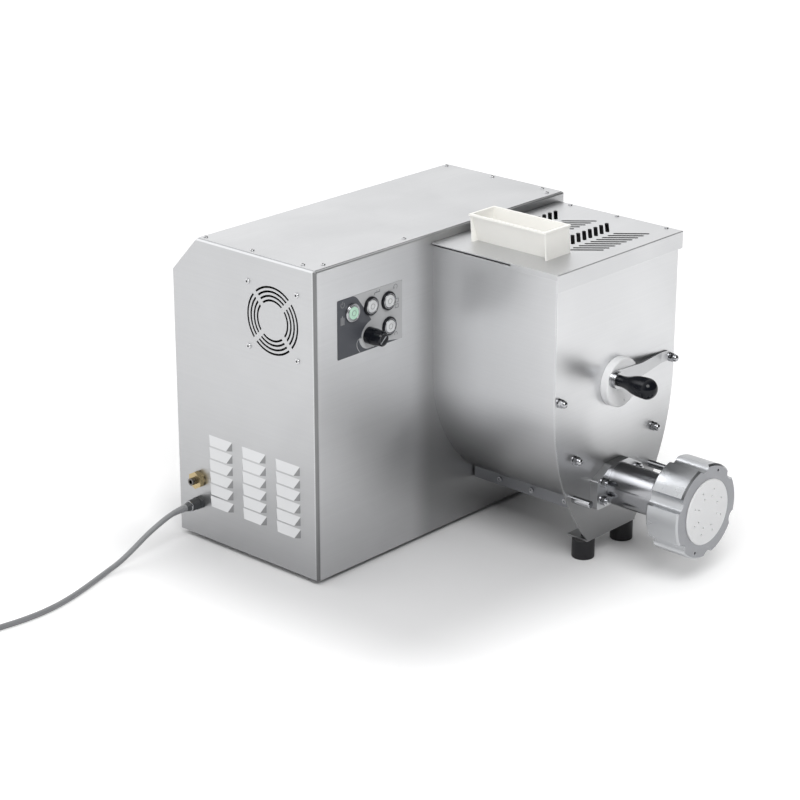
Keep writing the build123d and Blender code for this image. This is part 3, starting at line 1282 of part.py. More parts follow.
# ================================================================ write the parts
def main():
    os.makedirs("parts", exist_ok=True)
    single = {
        "base_tray": base_tray, "front_panel": front_panel, "left_panel": left_panel,
        "right_panel": right_panel, "back_panel": back_panel, "top_plate": top_plate,
        "fan_frame": fan_frame, "fan_impeller": fan_impeller, "water_inlet": water_inlet,
        "cable_gland": cable_gland, "control_label": control_label, "speed_knob": knob,
        "potentiometer": potentiometer, "inverter_box": inverter_box,
        "mixing_trough": mixing_trough, "auger_bed": auger_bed, "front_plate": front_plate,
        "lid": lid, "lid_leaf": lid_leaf, "wall_leaf": wall_leaf, "funnel": funnel,
        "barrel": barrel, "ring_nut": ring_nut, "die": die,
        "bearing_disc": bearing_disc, "latch_lever": latch_lever, "latch_handle": latch_handle,
        "mixing_shaft": mixing_shaft, "mixer_gear": mixer_gear, "auger": auger,
        "auger_gear": auger_gear, "output_pinion": output_pinion, "reducer_wheel": reducer_wheel,
        "rotor": rotor, "stator": stator, "gearbox_front": gearbox_front,
        "gearbox_rear": gearbox_rear, "power_cord": power_cord, "cord_coil": cord_coil, "plug": plug,
    }
    grouped = {
        "base_pads": base_pads, "top_screws": top_screws, "fan_screws": fan_screws,
        "contact_blocks": contact_blocks, "bed_screws": bed_screws, "shaft_seals": shaft_seals,
        "acorn_nuts": acorn_nuts, "cutter_studs": cutter_studs, "rubber_feet": rubber_feet,
        "lid_rivets": lid_rivets, "barrel_nuts": barrel_nuts, "case_bolts": case_bolts,
    }
    for name, make in single.items():
        export(name, make())
    for name, make in grouped.items():
        export(name, *make())
    export("start_bezel", bezel(*START_XZ))
    export("button_bezels", *[bezel(x, z) for x, z in WHITE_XZ])
    export("start_button", button(*START_XZ))
    for name, place in zip(("mix_button", "extrude_button", "stop_button"), WHITE_XZ):
        export(name, button(*place))
    export("motor_housing", motor_flange(), motor_barrel(), motor_end_cap())
    export("bearings", *shaft_bearings(), *motor_bearings())


main()
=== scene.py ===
# %% [markdown]
# # A bench-top pasta extruder and its finishes
#
# The solids of this machine come from a CAD model and are loaded as a fixed frame.  This script adds what
# CAD leaves out: the loose mains cord, the printed label, small turned details, and a finish for each
# surface.  Everything is in metres, in the CAD model's own frame.

import math

import bmesh
import bpy
from mathutils import Matrix, Vector


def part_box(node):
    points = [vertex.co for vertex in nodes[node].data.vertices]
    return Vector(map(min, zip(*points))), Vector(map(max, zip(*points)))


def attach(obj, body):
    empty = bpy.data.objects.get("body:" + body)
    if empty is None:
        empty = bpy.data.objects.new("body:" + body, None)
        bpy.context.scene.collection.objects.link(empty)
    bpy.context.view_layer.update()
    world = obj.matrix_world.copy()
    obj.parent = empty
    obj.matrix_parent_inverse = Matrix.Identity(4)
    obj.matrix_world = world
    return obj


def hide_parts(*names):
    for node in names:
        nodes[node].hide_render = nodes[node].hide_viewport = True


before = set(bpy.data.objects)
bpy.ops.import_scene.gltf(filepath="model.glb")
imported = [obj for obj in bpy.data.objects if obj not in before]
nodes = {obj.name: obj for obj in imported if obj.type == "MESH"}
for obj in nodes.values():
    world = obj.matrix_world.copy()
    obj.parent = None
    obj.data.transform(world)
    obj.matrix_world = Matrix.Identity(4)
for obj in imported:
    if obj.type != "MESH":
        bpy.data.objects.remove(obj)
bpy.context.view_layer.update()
scene = bpy.context.scene

# %% [markdown]
# ## The camera
#
# A long lens far away keeps upright edges nearly upright and near parts hardly larger than far ones.  The
# camera stands about 3.9 m away and 1.6 m above the floor, and looks down by 21 degrees.

# %% Camera
CAMERA_AT = Vector((-2.7460, -2.3560, 1.6180))
CAMERA_AZIMUTH = math.radians(-47.665)
CAMERA_DOWN = math.radians(20.75)
CAMERA_LENS, CAMERA_SENSOR = 109.67, 36.0

back = Vector((math.sin(CAMERA_AZIMUTH) * math.cos(CAMERA_DOWN),
               -math.cos(CAMERA_AZIMUTH) * math.cos(CAMERA_DOWN), math.sin(CAMERA_DOWN)))
camera = bpy.data.objects.new("camera", bpy.data.cameras.new("camera"))
scene.collection.objects.link(camera)
camera.location = CAMERA_AT
camera.rotation_mode = "QUATERNION"
camera.rotation_quaternion = (-back).to_track_quat("-Z", "Y")
camera.data.lens = CAMERA_LENS
camera.data.sensor_width = CAMERA_SENSOR
camera.data.clip_start, camera.data.clip_end = 0.1, 200.0
scene.camera = camera
print("camera looks along", [round(x, 3) for x in -back])

# %% [markdown]
# ## The mains cord
#
# A real cord is one smooth line with a fixed length.  A NURBS curve, which is only drawn towards its control
# points, bends as evenly as rubber does.  The first points follow the cord from its gland down to the floor
# and away to the left; the rest wind the spare length into a neat coil, two turns wide and three high.

# %% The cord's route
CORD_R = 0.0044
CORD_ROUTE = [
    (-0.3125, 0.32825, 0.0660), (-0.3375, 0.32825, 0.0660), (-0.3665, 0.32825, 0.0575),
    (-0.3935, 0.33275, 0.0430), (-0.4195, 0.33625, 0.0260), (-0.4465, 0.33875, 0.0115),
    (-0.4805, 0.33675, 0.0046), (-0.5235, 0.32275, 0.0046), (-0.5705, 0.30875, 0.0046),
    (-0.6225, 0.29975, 0.0046), (-0.6745, 0.30075, 0.0046), (-0.7265, 0.31000, 0.0046),
]
COIL_CENTRE = (-0.7755, 0.36475)
COIL_OUT, COIL_IN = 0.0529, 0.0441
COIL_LAYERS = (0.0046, 0.0135, 0.0224)
COIL_STEP, COIL_END = 20, 1800
PLUG_ENTRY = (-0.7965, 0.40885, 0.0436)
# Past the winding the cord rises to the plug and drifts outwards: degrees and heights.
COIL_RISE = ((1825, 0.0250), (1850, 0.0300), (1875, 0.0360), (1900, 0.0405), (1925, 0.0432))
COIL_DRIFT, COIL_DRIFT_OVER = 0.0042, 150
PLUG_LEAD = (-0.008, -0.0008)

# Each row says where the winding is after so many degrees: its radius and its height.
COIL_PLAN = [
    (0, COIL_OUT, COIL_LAYERS[0]), (300, COIL_OUT, COIL_LAYERS[0]), (360, COIL_IN, COIL_LAYERS[0]),
    (600, COIL_IN, COIL_LAYERS[0]), (660, COIL_IN, COIL_LAYERS[1]), (900, COIL_IN, COIL_LAYERS[1]),
    (960, COIL_OUT, COIL_LAYERS[1]), (1200, COIL_OUT, COIL_LAYERS[1]), (1260, COIL_OUT, COIL_LAYERS[2]),
    (1500, COIL_OUT, COIL_LAYERS[2]), (1560, COIL_IN, COIL_LAYERS[2]), (1800, COIL_IN, COIL_LAYERS[2]),
]


def round_coil(degrees, radius, height):
    angle = math.radians(degrees)
    return (COIL_CENTRE[0] - radius * math.sin(angle), COIL_CENTRE[1] - radius * math.cos(angle), height)


def coil_at(degrees):
    """Place of the winding after so many degrees, clockwise as seen from above."""
    for (a, ra, za), (b, rb, zb) in zip(COIL_PLAN, COIL_PLAN[1:]):
        if degrees <= b:
            t = (degrees - a) / (b - a)
            t = t * t * (3 - 2 * t)
            radius, height = ra + (rb - ra) * t, za + (zb - za) * t
            break
    # control points of a round lie a little outside it
    radius /= 1 - (1 - math.cos(math.radians(COIL_STEP / 2))) / 2
    return round_coil(degrees, radius, height)


cord_points = list(CORD_ROUTE) + [coil_at(d) for d in range(0, COIL_END + 1, COIL_STEP)]
cord_points += [round_coil(degrees, COIL_IN + COIL_DRIFT * (degrees - COIL_END) / COIL_DRIFT_OVER, height)
                for degrees, height in COIL_RISE]
cord_points += [(PLUG_ENTRY[0] + PLUG_LEAD[0], PLUG_ENTRY[1] + PLUG_LEAD[1], PLUG_ENTRY[2]), PLUG_ENTRY]
print("cord has", len(cord_points), "control points")


# %% Make the cord
def nurbs_tube(name, points, radius):
    """A tube whose points carry its radius, so that its box is no larger than the tube.

    Radius 0 gives a bare line."""
    curve = bpy.data.curves.new(name, "CURVE")
    curve.dimensions = "3D"
    spline = curve.splines.new("NURBS")
    spline.points.add(len(points) - 1)
    for point, place in zip(spline.points, points):
        point.co = (*place, 1.0)
        point.radius = radius
    spline.order_u = 3
    spline.use_endpoint_u = True
    spline.resolution_u = 6
    curve.bevel_depth = 1.0 if radius else 0.0
    curve.bevel_resolution = 4
    curve.use_fill_caps = True
    made = bpy.data.objects.new(name, curve)
    scene.collection.objects.link(made)
    return made


# %% Measure a cord's line
def line_points(points):
    """The smooth curve's own points, read from a copy with no thickness."""
    bare = nurbs_tube("bare_line", points, 0.0)
    mesh = bpy.data.meshes.new_from_object(bare.evaluated_get(bpy.context.evaluated_depsgraph_get()))
    places = [v.co.copy() for v in mesh.vertices]
    bpy.data.objects.remove(bare)
    return places


cord_line = line_points(cord_points)
mains_cord = nurbs_tube("mains_cord", cord_points, CORD_R)
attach(mains_cord, "root")
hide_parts("power_cord", "cord_coil")

# %% [markdown]
# ## Node helpers
#
# Materials are graphs.  Two small helpers keep the graphs readable: one adds a node and fills or links its
# sockets in a single call, the other opens a new material.

# %% Add a node, open a material
def add(tree, kind, sockets=None, **settings):
    made = tree.nodes.new(kind)
    for key, value in settings.items():
        setattr(made, key, value)
    for key, value in (sockets or {}).items():
        if isinstance(value, bpy.types.NodeSocket):
            tree.links.new(value, made.inputs[key])
        else:
            made.inputs[key].default_value = value
    return made


def open_material(name):
    material = bpy.data.materials.new(name)
    material.use_nodes = True
    tree = material.node_tree
    place = add(tree, "ShaderNodeTexCoord").outputs["Object"]
    return material, tree, tree.nodes["Principled BSDF"], place


def math_node(tree, operation, first, second=0.0, clamp=False):
    made = add(tree, "ShaderNodeMath", {0: first, 1: second}, operation=operation)
    made.use_clamp = clamp
    return made.outputs[0]


def blend_colours(tree, factor, low, high):
    made = tree.nodes.new("ShaderNodeMix")
    made.data_type = "RGBA"
    for index, value in ((0, factor), (6, low), (7, high)):
        if isinstance(value, bpy.types.NodeSocket):
            tree.links.new(value, made.inputs[index])
        else:
            made.inputs[index].default_value = (*value, 1.0) if index else value
    return made.outputs[2]


print("helpers ready")

# %% [markdown]
# ## Effects that many finishes share
#
# Satin steel shows a fine grain from the belt that finished it, slow cloudy changes where hands and cloths
# have been, and a bright line along each edge, partly rubbed wear and partly a painted highlight.  Other groups
# paint light and shade: a dark fold, a light slope and shade near a plane.  Moulded plastic and rubber show a
# pebbled skin.
# Each effect is a node group with named sockets, built once and placed in every material that needs it.

# %% A group with named sockets
def open_group(name, takes, gives):
    group = bpy.data.node_groups.new(name, "ShaderNodeTree")
    for socket, kind, value in takes:
        made = group.interface.new_socket(socket, in_out="INPUT", socket_type=kind)
        made.default_value = value
    for socket, kind in gives:
        group.interface.new_socket(socket, in_out="OUTPUT", socket_type=kind)
    return group, group.nodes.new("NodeGroupInput").outputs, group.nodes.new("NodeGroupOutput")


def use(tree, group, **sockets):
    made = tree.nodes.new("ShaderNodeGroup")
    made.node_tree = group
    for key, value in sockets.items():
        key = key.replace("_", " ")
        if isinstance(value, bpy.types.NodeSocket):
            tree.links.new(value, made.inputs[key])
        else:
            made.inputs[key].default_value = value
    return made.outputs


FLOAT, VECTOR = "NodeSocketFloat", "NodeSocketVector"
ORIGIN = (0, 0, 0)

# %% Brushed grain
# Noise, squeezed across the grain and stretched along it, draws the fine scratches of a finishing belt.
brushed_grain, takes, gives = open_group(
    "brushed grain", [("Place", VECTOR, ORIGIN), ("Across", VECTOR, (4, 4, 900))],
    [("Tone", FLOAT), ("Height", FLOAT)])
lines = add(brushed_grain, "ShaderNodeVectorMath", {0: takes["Place"], 1: takes["Across"]},
            operation="MULTIPLY")
fine = add(brushed_grain, "ShaderNodeTexNoise", {"Vector": lines.outputs[0], "Scale": 1.0, "Detail": 3.0})
coarse = add(brushed_grain, "ShaderNodeTexNoise", {"Vector": lines.outputs[0], "Scale": 0.31, "Detail": 1.0})
tone = math_node(brushed_grain, "ADD", math_node(brushed_grain, "MULTIPLY", fine.outputs[0], 0.6),
                 math_node(brushed_grain, "MULTIPLY", coarse.outputs[0], 0.4))
brushed_grain.links.new(tone, gives.inputs["Tone"])
brushed_grain.links.new(fine.outputs[0], gives.inputs["Height"])
print("group:", brushed_grain.name)

# %% Cloudy smudges
smudges, takes, gives = open_group(
    "smudges", [("Place", VECTOR, ORIGIN), ("Patches per metre", FLOAT, 7.0)], [("Mask", FLOAT)])
cloud = add(smudges, "ShaderNodeTexNoise", {"Vector": takes["Place"], "Scale": takes["Patches per metre"],
                                            "Detail": 4.0, "Roughness": 0.55, "Distortion": 0.4})
spread = add(smudges, "ShaderNodeMapRange", {"Value": cloud.outputs[0], "From Min": 0.35, "From Max": 0.68})
smudges.links.new(spread.outputs[0], gives.inputs["Mask"])
print("group:", smudges.name)

# %% Rubbed edges and painted highlight
# The Bevel node bends the normal near an edge.  Where it differs from the true normal, there is an edge.  The
# mask makes the edge lighter: partly rubbed wear, partly a painted highlight.
edge_wear_and_highlight, takes, gives = open_group("edge wear and painted highlight", [("Width", FLOAT, 0.0008)], [("Mask", FLOAT)])
soft = add(edge_wear_and_highlight, "ShaderNodeBevel", {"Radius": takes["Width"]}, samples=6)
true_normal = add(edge_wear_and_highlight, "ShaderNodeNewGeometry").outputs["True Normal"]
match = add(edge_wear_and_highlight, "ShaderNodeVectorMath", {0: soft.outputs[0], 1: true_normal}, operation="DOT_PRODUCT")
edge = add(edge_wear_and_highlight, "ShaderNodeMapRange",
           {"Value": match.outputs["Value"], "From Min": 0.995, "From Max": 0.82})
edge_wear_and_highlight.links.new(edge.outputs[0], gives.inputs["Mask"])
print("group:", edge_wear_and_highlight.name)

# %% Folds and slopes
# Where a sheet turns round an upright corner its colour is darkened, a painted dark reflection.  The fold is
# where the normal points both sideways and forwards, so the product of those two parts of it is a mask.  A
# louvre's pressed slope points sideways and up, and its colour is lightened there, as painted light.
painted_fold_and_slope, takes, gives = open_group("painted fold and slope light", [], [("Mask", FLOAT), ("Slope", FLOAT)])
PAINTED_FACING_GAIN = 4.0
normal = add(painted_fold_and_slope, "ShaderNodeNewGeometry").outputs["Normal"]
parts = add(painted_fold_and_slope, "ShaderNodeSeparateXYZ", {0: normal}).outputs
for other, gain, output in (("Y", PAINTED_FACING_GAIN, "Mask"), ("Z", -PAINTED_FACING_GAIN, "Slope")):
    product = math_node(painted_fold_and_slope, "MULTIPLY", parts["X"], parts[other])
    painted_fold_and_slope.links.new(math_node(painted_fold_and_slope, "MULTIPLY", product, gain, clamp=True), gives.inputs[output])
print("group:", painted_fold_and_slope.name)

# %% Painted shade near a plane
# Steel is made darker near the bench and in the corner between two sheets: painted shade, standing in for the
# shade and darker reflections there.  The shade grows as the distance from a plane falls from one value to
# another.
near_shade, takes, gives = open_group(
    "near shade", [("Place", VECTOR, ORIGIN), ("Along", VECTOR, (0, 0, 1)), ("Plane at", FLOAT, 0.0),
                   ("Starts", FLOAT, 0.3), ("Full", FLOAT, 0.1)], [("Mask", FLOAT)])
reach = add(near_shade, "ShaderNodeVectorMath", {0: takes["Place"], 1: takes["Along"]}, operation="DOT_PRODUCT")
reach = math_node(near_shade, "SUBTRACT", reach.outputs["Value"], takes["Plane at"])
nearer = add(near_shade, "ShaderNodeMapRange", {"Value": math_node(near_shade, "ABSOLUTE", reach),
                                                "From Min": takes["Starts"], "From Max": takes["Full"]},
             interpolation_type="SMOOTHSTEP")
near_shade.links.new(nearer.outputs[0], gives.inputs["Mask"])
print("group:", near_shade.name)

# %% Pebbled skin and settled dust
pebbled_skin, takes, gives = open_group(
    "pebbled skin", [("Place", VECTOR, ORIGIN), ("Grains per metre", FLOAT, 900.0)],
    [("Tone", FLOAT), ("Height", FLOAT)])
pebbles = add(pebbled_skin, "ShaderNodeTexVoronoi",
              {"Vector": takes["Place"], "Scale": takes["Grains per metre"]}, feature="SMOOTH_F1")
shades = add(pebbled_skin, "ShaderNodeTexNoise", {"Vector": takes["Place"], "Scale": 22.0, "Detail": 3.0})
pebbled_skin.links.new(pebbles.outputs["Distance"], gives.inputs["Height"])
pebbled_skin.links.new(shades.outputs[0], gives.inputs["Tone"])

settled_dust, takes, gives = open_group(
    "settled dust", [("Place", VECTOR, ORIGIN), ("Amount", FLOAT, 0.3)], [("Mask", FLOAT)])
facing = add(settled_dust, "ShaderNodeSeparateXYZ",
             {0: add(settled_dust, "ShaderNodeNewGeometry").outputs["Normal"]}).outputs["Z"]
upward = add(settled_dust, "ShaderNodeMapRange", {"Value": facing, "From Min": 0.2, "From Max": 1.0}).outputs[0]
specks = add(settled_dust, "ShaderNodeTexNoise",
             {"Vector": takes["Place"], "Scale": 260.0, "Detail": 5.0}).outputs[0]
film = math_node(settled_dust, "MULTIPLY", upward, math_node(settled_dust, "MULTIPLY", specks, takes["Amount"]))
settled_dust.links.new(film, gives.inputs["Mask"])
print("groups:", pebbled_skin.name, "and", settled_dust.name)

# %% [markdown]
# ## Metal finishes
#
# Steel, aluminium and brass differ in colour, in how rough they are and in which way their grain runs.  One
# function wires the shared effects to a metal, so that every finish is one short call with its own numbers.

# %% Metals
BUMP_HEIGHT = 0.0002
UP, REAR, RIGHT = (0, 0, 1), (0, 1, 0), (1, 0, 0)
# how light each effect leaves a metal, as a factor of its colour: the fold's dark, the slope's light and the
# shade are painted, and the rubbed edge is partly a painted highlight
SMUDGED, RUBBED_AND_HIGHLIT, PAINTED_FOLD_DARK, PAINTED_SLOPE_LIGHT, SHADED = 0.72, 1.35, 0.3, 1.3, 0.2


def lighter(colour, factor, lift=0.0):
    return [min(1.0, c * factor + lift) for c in colour]


def metal(name, colour, roughness, across=(4, 4, 900), grain=0.05, bump=0.02, cloud=0.06, edges=0.0,
          patches=7.0, fold=0.0, slope=0.0, shades=(), beyond=None):
    """A metal with grain, smudges and edges that are rubbed; grain and cloud are shares of its tone and
    roughness.
    The edges' lighter rim is partly a painted highlight, upright corners can be darkened as a painted dark
    reflection, and up-facing slopes lightened as painted light.

    beyond is (axis, place, colour, roughness) for a piece whose one end has another finish.  A row of shades
    paints shade near a plane: a direction, a plane's place along it, where the shade starts, where it is full,
    and its share."""
    material, tree, bsdf, place = open_material(name)
    scratches = use(tree, brushed_grain, Place=place, Across=across)
    patch = use(tree, smudges, Place=place, Patches_per_metre=patches)["Mask"]
    tint = blend_colours(tree, scratches["Tone"], lighter(colour, 1 - grain), lighter(colour, 1 + grain))
    tint = blend_colours(tree, math_node(tree, "MULTIPLY", patch, cloud), tint, lighter(colour, SMUDGED))
    rough = add(tree, "ShaderNodeMapRange",
                {"Value": patch, "To Min": roughness - cloud / 2, "To Max": roughness + cloud}).outputs[0]
    if beyond:
        axis, start, other_colour, other_rough = beyond
        where = add(tree, "ShaderNodeSeparateXYZ", {0: place}).outputs[axis]
        past = math_node(tree, "GREATER_THAN", where, start)
        tint = blend_colours(tree, past, tint, other_colour)
        change = math_node(tree, "MULTIPLY", past, other_rough - roughness)
        rough = math_node(tree, "ADD", rough, change, clamp=True)
    # painted highlight: edges are made lighter and smoother, partly rubbed wear and partly a highlight
    if edges:
        rim = use(tree, edge_wear_and_highlight, Width=edges)["Mask"]
        tint = blend_colours(tree, math_node(tree, "MULTIPLY", rim, 0.8), tint, lighter(colour, RUBBED_AND_HIGHLIT))
        rough = math_node(tree, "SUBTRACT", rough, math_node(tree, "MULTIPLY", rim, 0.12), clamp=True)
    # painted dark reflection: the colour is darkened where a sheet turns round an upright corner
    if fold:
        fold_shade_share = math_node(tree, "MULTIPLY", use(tree, painted_fold_and_slope)["Mask"], fold)
        tint = blend_colours(tree, fold_shade_share, tint, lighter(colour, PAINTED_FOLD_DARK))
    # painted light: the colour is lightened on slopes that face sideways and up, such as the louvres
    if slope:
        slope_light_share = math_node(tree, "MULTIPLY", use(tree, painted_fold_and_slope)["Slope"], slope)
        tint = blend_colours(tree, slope_light_share, tint, lighter(colour, PAINTED_SLOPE_LIGHT))
    # painted shade: each row darkens the colour near a plane
    for along, plane, starts, full, share in shades:
        shade = use(tree, near_shade, Place=place, Along=along, Plane_at=plane, Starts=starts, Full=full)
        darker = math_node(tree, "MULTIPLY", shade["Mask"], share)
        tint = blend_colours(tree, darker, tint, lighter(colour, SHADED))
    tree.links.new(tint, bsdf.inputs["Base Color"])
    tree.links.new(rough, bsdf.inputs["Roughness"])
    bsdf.inputs["Metallic"].default_value = 1.0
    scratch_bump = add(tree, "ShaderNodeBump",
                       {"Strength": bump, "Distance": BUMP_HEIGHT, "Height": scratches["Height"]})
    tree.links.new(scratch_bump.outputs[0], bsdf.inputs["Normal"])
    return material


# Where the housing's front face is, where the barrel turns into its flange, and where the inlet's thin tail
# meets its nut.
HOUSING_FACE, FLANGE_FROM, INLET_NUT_FROM = 0.06175, -0.2025, -0.2906
RING_FRONT = min(corner.co.y for corner in nodes["ring_nut"].data.vertices)
finish = {
    # painted shade: the trough steel is darker towards the floor and towards the housing's face
    "trough_steel": metal("satin trough steel", (0.69, 0.695, 0.705), 0.36, bump=0.05, edges=0.001,
                          shades=[(UP, 0.0, 0.26, 0.12, 0.72), (REAR, HOUSING_FACE, 0.11, 0.0, 0.35)]),
    "lid_steel": metal("satin lid steel", (0.66, 0.665, 0.675), 0.38, across=(4, 700, 700), bump=0.05,
                       edges=0.001),
    "polished_steel": metal("polished barrel steel", (0.36, 0.365, 0.38), 0.17, across=(500, 6, 500),
                            grain=0.03, cloud=0.04, edges=0.0008,
                            beyond=("Y", FLANGE_FROM, (0.50, 0.505, 0.515), 0.34)),
    "bright_fastener": metal("bright screws and nuts", (0.42, 0.425, 0.44), 0.09, across=(300, 300, 300),
                             grain=0.04, cloud=0.05, edges=0.0003, patches=40.0),
    "machined_steel": metal("machined gear steel", (0.52, 0.53, 0.55), 0.3, across=(500, 8, 500), grain=0.1,
                            edges=0.0004),
    "ring_aluminium": metal("brushed ring aluminium", (0.30, 0.305, 0.32), 0.32, across=(300, 900, 300),
                            grain=0.09, bump=0.06, cloud=0.08, edges=0.0014, patches=16.0,
                            beyond=("Y", RING_FRONT + 0.0004, (0.47, 0.48, 0.495), 0.27)),
    "cast_aluminium": metal("cast gearbox aluminium", (0.45, 0.455, 0.465), 0.5, across=(260, 260, 260),
                            grain=0.18, bump=0.3, edges=0.001),
    "brass": metal("turned brass", (0.16, 0.15, 0.14), 0.3, across=(900, 300, 300), grain=0.12, cloud=0.1,
                   patches=60.0, beyond=("X", INLET_NUT_FROM, (0.46, 0.37, 0.21), 0.28)),
    "winding_steel": metal("laminated motor steel", (0.24, 0.22, 0.21), 0.45, across=(4, 1400, 4), grain=0.3,
                           bump=0.3),
}
print("metals:", ", ".join(finish))

# %% [markdown]
# ## Plastics, rubber, paint and film
#
# These don't conduct, so their colour is the colour they scatter, under a thin clear gloss.  A pebbled skin
# breaks the gloss up, edges are lighter, partly polished by handling and partly a painted highlight, and a
# little dust lies on what faces up.

# %% Plastics and rubber
def moulded(name, colour, roughness, grains=900.0, bump=0.1, shade=0.08, dust=0.0, edges=0.0, coat=0.0,
            shine=0.5):
    material, tree, bsdf, place = open_material(name)
    skin = use(tree, pebbled_skin, Place=place, Grains_per_metre=grains)
    tint = blend_colours(tree, skin["Tone"], lighter(colour, 1 - shade), lighter(colour, 1 + shade))
    rough = add(tree, "ShaderNodeMapRange", {"Value": skin["Tone"], "To Min": max(0.02, roughness - 0.06),
                                             "To Max": roughness + 0.06}).outputs[0]
    # edges are made lighter: partly polished by handling, partly a painted highlight
    if edges:
        rim = use(tree, edge_wear_and_highlight, Width=edges)["Mask"]
        tint = blend_colours(tree, math_node(tree, "MULTIPLY", rim, 0.35), tint, lighter(colour, 1.3, 0.03))
    if dust:
        film = use(tree, settled_dust, Place=place, Amount=dust)["Mask"]
        tint = blend_colours(tree, film, tint, (0.55, 0.54, 0.52))
        rough = math_node(tree, "ADD", rough, math_node(tree, "MULTIPLY", film, 0.5), clamp=True)
    tree.links.new(tint, bsdf.inputs["Base Color"])
    tree.links.new(rough, bsdf.inputs["Roughness"])
    bsdf.inputs["Coat Weight"].default_value = coat
    bsdf.inputs["Coat Roughness"].default_value = 0.06
    bsdf.inputs["Specular IOR Level"].default_value = shine
    pebble_bump = add(tree, "ShaderNodeBump",
                      {"Strength": bump, "Distance": BUMP_HEIGHT, "Height": skin["Height"]})
    tree.links.new(pebble_bump.outputs[0], bsdf.inputs["Normal"])
    return material


finish.update({
    "gland_plastic": moulded("dark gland plastic", (0.045, 0.048, 0.052), 0.3, bump=0.12, edges=0.0006,
                             dust=0.1),
    "black_plastic": moulded("glossy black plastic", (0.006, 0.007, 0.010), 0.13, bump=0.02, shine=0.22),
    "matte_black": moulded("matt black plastic", (0.022, 0.022, 0.024), 0.55, bump=0.2, dust=0.15, shine=0.3),
    "white_plastic": moulded("white food-grade plastic", (0.84, 0.845, 0.855), 0.38, grains=1400.0, bump=0.06,
                             shade=0.03, edges=0.0008),
    "warm_white_plastic": moulded("warm white plastic", (0.93, 0.92, 0.88), 0.4, grains=1200.0, bump=0.06,
                                  shade=0.03, edges=0.0008),
    "clear_white_cap": moulded("white button cap", (0.68, 0.69, 0.70), 0.18, grains=1500.0, bump=0.02,
                               shade=0.02, coat=0.8),
    "green_cap": moulded("pale green button cap", (0.50, 0.76, 0.60), 0.18, grains=1500.0, bump=0.02,
                         shade=0.04, coat=0.8),
    "label_film": moulded("charcoal label film", (0.062, 0.066, 0.078), 0.42, grains=2600.0, bump=0.1,
                          shade=0.05),
    "rubber": moulded("black rubber", (0.012, 0.012, 0.014), 0.45, grains=1100.0, bump=0.25, dust=0.15,
                      edges=0.001, shine=0.35),
    "cord_grey": moulded("grey cord rubber", (0.235, 0.24, 0.25), 0.42, grains=1500.0, bump=0.1, dust=0.15),
    "motor_paint": moulded("dark motor paint", (0.10, 0.115, 0.13), 0.35, grains=700.0, bump=0.2, dust=0.5,
                           edges=0.001),
})
print("plastics, rubber and paint:", len(finish), "finishes in all")

# %% Grain that runs the right way
# Sheet is brushed along its length before it is folded, so each panel's lines run a different way.  The
# panels' tones differ too, as painted light and shade: the front panel is lighter and the side panels darker
# than the top plate.
HOUSING_ROUGH = 0.35
(trough_left, _, _), (trough_right, _, _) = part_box("mixing_trough")
TROUGH_X, TROUGH_HALF = (trough_left + trough_right) / 2, (trough_right - trough_left) / 2
panel_finish = {
    # painted light and shade on the front and left panels: shade rows near the floor and beside the trough, a
    # dark fold at upright corners, and light on the left panel's louvre slopes
    "front_panel": metal("front panel steel", (0.69, 0.695, 0.705), 0.42, across=(5, 900, 900), bump=0.05,
                         edges=0.0012, fold=1.0,
                         shades=[(UP, 0.0, 0.20, 0.0, 0.3),
                                 (RIGHT, TROUGH_X, TROUGH_HALF + 0.055, TROUGH_HALF, 0.45)]),
    "left_panel": metal("left panel steel", (0.56, 0.565, 0.575), HOUSING_ROUGH, across=(900, 5, 900),
                        bump=0.05, edges=0.0008, fold=0.7, slope=1.0, shades=[(UP, 0.0, 0.40, 0.0, 0.3)]),
    "top_plate": metal("top plate steel", (0.59, 0.595, 0.605), HOUSING_ROUGH, across=(5, 900, 5), bump=0.05,
                       edges=0.0006),
    "latch_lever": metal("latch lever steel", (0.50, 0.505, 0.515), 0.3, across=(6, 500, 900), edges=0.0008),
    # painted shade: the auger bed's steel is darker than the trough's, standing in for the shade low in the
    # trough
    "auger_bed": metal("auger bed steel", (0.27, 0.275, 0.29), 0.34, across=(900, 5, 900), edges=0.0012),
    "fan_screws": metal("pale button heads", (0.64, 0.645, 0.655), 0.18, across=(300, 300, 300), cloud=0.05,
                        edges=0.0003, patches=40.0),
}
panel_finish["top_screws"] = panel_finish["fan_screws"]
panel_finish["right_panel"] = panel_finish["left_panel"]
panel_finish["back_panel"] = panel_finish["base_tray"] = panel_finish["front_panel"]
panel_finish["plug"] = panel_finish["cord_coil"] = finish["cord_grey"]

# %% Give each CAD piece its finish
for node_name, piece in nodes.items():
    slot = piece.material_slots[0]
    slot.material = panel_finish.get(node_name) or finish[slot.material.name.split(".")[0]]
mains_cord.data.materials.append(finish["cord_grey"])
print(len(nodes), "CAD pieces finished")

# %% [markdown]
# ## Small pieces one by one
#
# Drawings of this machine measure from the housing's front left corner, in millimetres.  `at` turns such a
# measurement into a place here.  `turned` makes round pieces as a lathe would: a closed profile is carried
# round an axis, its doubles are merged and its faces are made to point outwards.

# %% Places, and a lathe
HOUSING_LEFT = -0.2805
SHARP_FROM = math.radians(32)


def at(x, y, z):
    return Vector((x / 1000 + HOUSING_LEFT, y / 1000 + HOUSING_FACE, z / 1000))


def as_piece(name, mesh, body, material):
    """Names a finished mesh, smooths it, and hangs it on the body that it moves with."""
    mesh.name = name
    mesh.materials.clear()
    mesh.materials.append(material)
    mesh.shade_smooth()
    mesh.set_sharp_from_angle(angle=SHARP_FROM)
    piece = bpy.data.objects.new(name, mesh)
    scene.collection.objects.link(piece)
    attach(piece, body)
    return piece


